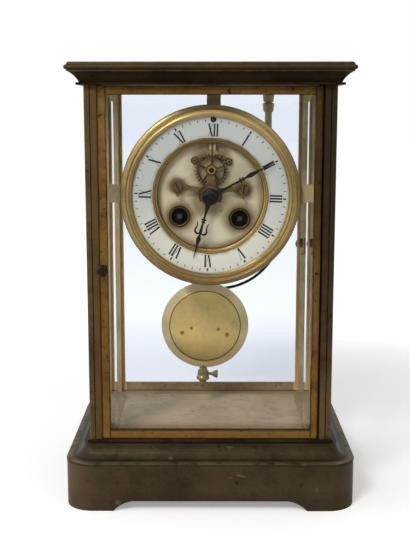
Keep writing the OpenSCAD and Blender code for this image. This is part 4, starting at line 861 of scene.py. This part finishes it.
# Roman numerals as strokes: start and end across and up, with a width, for a numeral DRAWN_H high
DRAWN_H = 8
THICK = 1.08
THIN = 0.26
SERIF_W = 0.2
LOW_SERIF = 0.12
TOP_SERIF = DRAWN_H - LOW_SERIF
NUMERALS = ("XII", "I", "II", "III", "IIII", "V", "VI", "VII", "VIII", "IX", "X", "XI")


def serif(middle, up, half=0.9):
    """The hairline that ends a stroke."""
    return ((middle - half, up), (middle + half, up), SERIF_W)


def letter_i(at):
    return [((at, 0), (at, DRAWN_H), THICK), serif(at, LOW_SERIF), serif(at, TOP_SERIF)]


def letter_v(at):
    left = ((at - 0.2, DRAWN_H), (at + 1.25, 0), THICK)
    right = ((at + 2.9, DRAWN_H), (at + 1.5, 0), THIN)
    return [left, right, serif(at - 0.2, TOP_SERIF), serif(at + 2.9, TOP_SERIF, 0.6)]


def letter_x(at):
    falling = ((at - 0.1, DRAWN_H), (at + 2.5, 0), THICK)
    rising = ((at + 2.6, DRAWN_H), (at - 0.1, 0), THIN)
    top = [serif(at, TOP_SERIF), serif(at + 2.6, TOP_SERIF, 0.6)]
    return [falling, rising] + top + [serif(at, LOW_SERIF, 0.6), serif(at + 2.5, LOW_SERIF)]


# Each letter with the step to the next one
LETTERS = {"I": (letter_i, 1.95), "V": (letter_v, 3.5), "X": (letter_x, 3.9)}


def numeral_strokes(word):
    """The strokes of a whole numeral, centred on its own middle."""
    strokes = []
    at = 0
    for letter in word:
        drawn, step = LETTERS[letter]
        strokes += drawn(at)
        at += step
    across = [point[0] for start, end, _ in strokes for point in (start, end)]
    middle = (min(across) + max(across)) / 2
    return [((a[0] - middle, a[1]), (b[0] - middle, b[1]), width) for a, b, width in strokes]


def on_dial(point, angle):
    """Turns a point drawn above the centre to the clock angle."""
    cos, sin = math.cos(angle), math.sin(angle)
    return (point[0] * cos + point[1] * sin, -point[0] * sin + point[1] * cos)


def hour_numerals(material):
    bm = bmesh.new()
    tall = (NUMERAL_OUT_R - NUMERAL_IN_R) / DRAWN_H
    for hour, word in enumerate(NUMERALS):
        angle = math.tau * hour / len(NUMERALS)
        for start, end, width in numeral_strokes(word):
            ends = [on_dial((x, NUMERAL_IN_R + up * tall), angle) for x, up in (start, end)]
            stroke(bm, *ends, width)
    return painted_piece("hour_numerals", bm, material)


def minute_marks(material):
    """Bars between the numerals and the rim, longer and wider at each hour, with none at twelve."""
    bm = bmesh.new()
    for minute in range(1, 60):
        angle = math.tau * minute / 60
        low, width = (HOUR_MARK_IN_R, HOUR_MARK_W) if minute % 5 == 0 else (MARK_IN_R, MARK_W)
        stroke(bm, on_dial((0, low), angle), on_dial((0, MARK_OUT_R), angle), width)
    return painted_piece("minute_marks", bm, material)


def regulator_eyelet(material):
    """The dark rim round the hole for the regulator key."""
    bm = bmesh.new()
    start = Matrix.Translation((EYELET_R, 0, 0))
    section = bmesh.ops.create_circle(bm, segments=10, radius=EYELET_RIM_R, matrix=start)["verts"]
    edges = list({edge for vert in section for edge in vert.link_edges})
    bmesh.ops.spin(bm, geom=section + edges, cent=(0, 0, 0), axis=(0, 1, 0), angle=math.tau, steps=40,
                   use_merge=True)
    place = Matrix.Translation((0, enamel_height(REGULATOR_R) - EYELET_PROUD, REGULATOR_R))
    bmesh.ops.transform(bm, matrix=movement_matrix() @ place, verts=bm.verts)
    bmesh.ops.recalc_face_normals(bm, faces=bm.faces)
    return new_piece("regulator_eyelet", bm, material)


def turned_screws(material):
    """The case's screws, with the slots of the cock's two screws turned as they were left."""
    bm = bmesh.new()
    bm.from_mesh(nodes["slotted_screws"].data)
    bmesh.ops.remove_doubles(bm, verts=bm.verts, dist=0.002 * MM)
    front = [vert for vert in bm.verts if vert.co.y / MM < COCK_SCREW_BACK]
    for (x, z), degrees in zip(COCK_SCREWS, COCK_SCREW_TURNS):
        head = [vert for vert in front if math.hypot(vert.co.x / MM - x, vert.co.z / MM - z) < COCK_SCREW_R]
        turn = Matrix.Rotation(math.radians(degrees), 3, "Y")
        bmesh.ops.rotate(bm, verts=head, cent=(x * MM, 0, z * MM), matrix=turn)
    bmesh.ops.recalc_face_normals(bm, faces=bm.faces)
    screws = new_piece("turned_screws", bm, material)
    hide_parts("slotted_screws")


# Stage

def studio_floor():
    """A pale floor that keeps the clock's shadow, white far away and dim where the metal mirrors it."""
    bm = bmesh.new()
    bmesh.ops.create_grid(bm, x_segments=1, y_segments=1, size=FLOOR_HALF)
    mesh = bpy.data.meshes.new("studio_floor")
    bm.to_mesh(mesh)
    bm.free()
    floor = bpy.data.objects.new("studio_floor", mesh)
    bpy.context.scene.collection.objects.link(floor)
    pale = grey(0.9)
    finish = Finish("studio_floor", Base_Color=pale, Roughness=0.9, Specular_IOR_Level=0.1)
    path = finish.node("ShaderNodeLightPath")
    dim = path.output("Glossy Depth").least(1) * finish.axis("Y").ramp(-90, -190)
    glow = finish.mix(finish.distance(0, 0, 0).ramp(260, 620), grey(0.3), grey(0.62))
    seen = finish.node("ShaderNodeBsdfPrincipled", {}, {
        "Base Color": finish.mix(dim, pale, grey(0.08)), "Roughness": 0.9, "Specular IOR Level": 0.1,
        "Emission Color": finish.mix(dim, glow, grey(0)), "Emission Strength": 1.0})
    looked_at = path.output("Is Camera Ray").most(path.output("Is Glossy Ray"))
    looked_at = looked_at.most(path.output("Is Transmission Ray"))
    finish.show(finish.blend(looked_at, finish.shader, seen))
    mesh.materials.append(finish.material)


def studio_world():
    """A white room. Metal facing the camera mirrors its dim end, with a window on the left."""
    world = bpy.data.worlds.new("studio")
    bpy.context.scene.world = world
    room = ShaderTree(world, "ShaderNodeOutputWorld")
    toward = room.node("ShaderNodeTexCoord", {}, {}, "Generated")
    path = room.node("ShaderNodeLightPath")

    def along(direction):
        """How far a ray runs in a direction."""
        dot = {"operation": "DOT_PRODUCT"}
        return room.node("ShaderNodeVectorMath", dot, {0: toward, 1: direction}, "Value")

    def light(colour, strength):
        return room.node("ShaderNodeBackground", {}, {"Color": colour, "Strength": strength})

    far_end = along((0, 1, 0)).ramp(0, 0.6) * 0.9 + 0.1
    window = along((-0.8, -0.45, 0.4)).ramp(0.78, 0.95) * 0.9
    lit = light((1, 0.99, 0.97, 1), 0.46)
    mirrored = light((1, 0.98, 0.95, 1), far_end + window)
    clear = path.output("Is Camera Ray").most(path.output("Is Transmission Ray"))
    direct = (clear - path.output("Glossy Depth")).most(0)
    by_light = room.blend(path.output("Is Glossy Ray"), lit, mirrored)
    room.show(room.blend(direct, by_light, light(grey(1), 1.0)))


def softbox(name, place, aim, size, power, colour=(1, 1, 1)):
    lamp = bpy.data.lights.new(name, "AREA")
    lamp.shape = "RECTANGLE"
    lamp.size, lamp.size_y = size
    lamp.energy = power
    lamp.color = colour
    box = bpy.data.objects.new(name, lamp)
    box.location = place
    box.rotation_euler = (Vector(aim) - Vector(place)).to_track_quat("-Z", "Y").to_euler()
    bpy.context.scene.collection.objects.link(box)


def camera():
    lens = bpy.data.cameras.new("camera")
    lens.sensor_fit = "HORIZONTAL"
    lens.sensor_width = SENSOR_W
    lens.lens = FOCAL_PX * SENSOR_W / IMAGE_W
    lens.clip_start = 0.01
    seen_from = bpy.data.objects.new("camera", lens)
    seen_from.location = CAMERA_AT
    seen_from.rotation_euler = (math.radians(90 - CAMERA_PITCH), 0, math.radians(CAMERA_YAW))
    bpy.context.scene.collection.objects.link(seen_from)
    bpy.context.scene.camera = seen_from


def dress(material, *names):
    """Gives nodes their material."""
    for name in names:
        slots = nodes[name].data.materials
        for index in range(len(slots)):
            slots[index] = material


def dress_case():
    dress(base_finish(), "base_plinth")
    dress(cornice_finish(), "cornice")
    dress(door_finish(), "front_door_frame")
    dress(back_door_finish(), "back_door_frame")
    dress(post_finish(), "post_front_left", "post_front_right", "side_rails")
    dress(back_post_finish(), "post_back_left", "post_back_right")
    dress(floor_finish(), "floor_plate")
    dress(knob_finish(), "front_door_knob")
    dress(flange_finish(), "top_plate")
    dress(front_glass(), "front_door_glass")
    dress(side_glass(), "glass_left", "glass_right", "back_door_glass")


def dress_dial():
    dress(bezel_finish(), "bezel")
    dress(ring_finish(), "gilt_rings")
    dress(strap_finish(), "dial_straps")
    dress(enamel_ring_finish(), "chapter_ring")
    dress(recess_finish(), "centre_dish")
    dress(pan_finish(), "dial_pan", "back_door_knob")
    dress(blued_steel(), "minute_hand", "hour_hand", "gong")


def dress_movement():
    dress(cock_finish(), "escape_cock")
    dress(pallet_cock_finish(), "pallet_cock")
    dress(anchor_finish(), "anchor")
    dress(escape_wheel_finish(), "escape_wheel")
    dress(sleeve_finish(), "rating_sleeve", "lock_screw")
    dress(suspension_finish(), "suspension_cock", "gong_stand")
    dress(wheel_finish(), "front_plate", "back_plate", "centre_wheel", "cannon_pinion", "minute_wheel",
          "hour_wheel", "third_wheel", "going_barrel", "strike_barrel", "pin_wheel", "strike_wheel",
          "warning_wheel", "fly", "rating_screw", "suspension_slide")
    dress(bob_finish(), "pendulum_bob")
    dress(bright_steel(), "pallet_arbor", "going_click", "strike_click", "hammer", "regulator_arbor",
          "suspension_spring", "pendulum_rod")
    dress(winding_finish(), "going_arbor", "strike_arbor")


camera()
studio_floor()
studio_world()
softbox("key", (-0.62, -1.25, 1.25), aim=(0, 0, 0.1), size=(0.5, 0.5), power=17, colour=(1, 0.98, 0.95))
softbox("left", (-1.6, -0.3, 0.6), aim=(0, 0, 0.15), size=(0.9, 1.2), power=6)
softbox("right", (1.5, -1.0, 0.9), aim=(0, 0, 0.15), size=(0.8, 1.0), power=2.5)

dress_case()
dress_dial()
dress_movement()
turned_screws(screw_finish())

ink = black_enamel()
for piece in (hour_numerals(ink), minute_marks(ink), regulator_eyelet(ink)):
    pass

scene = bpy.context.scene
scene.view_settings.view_transform = "Standard"
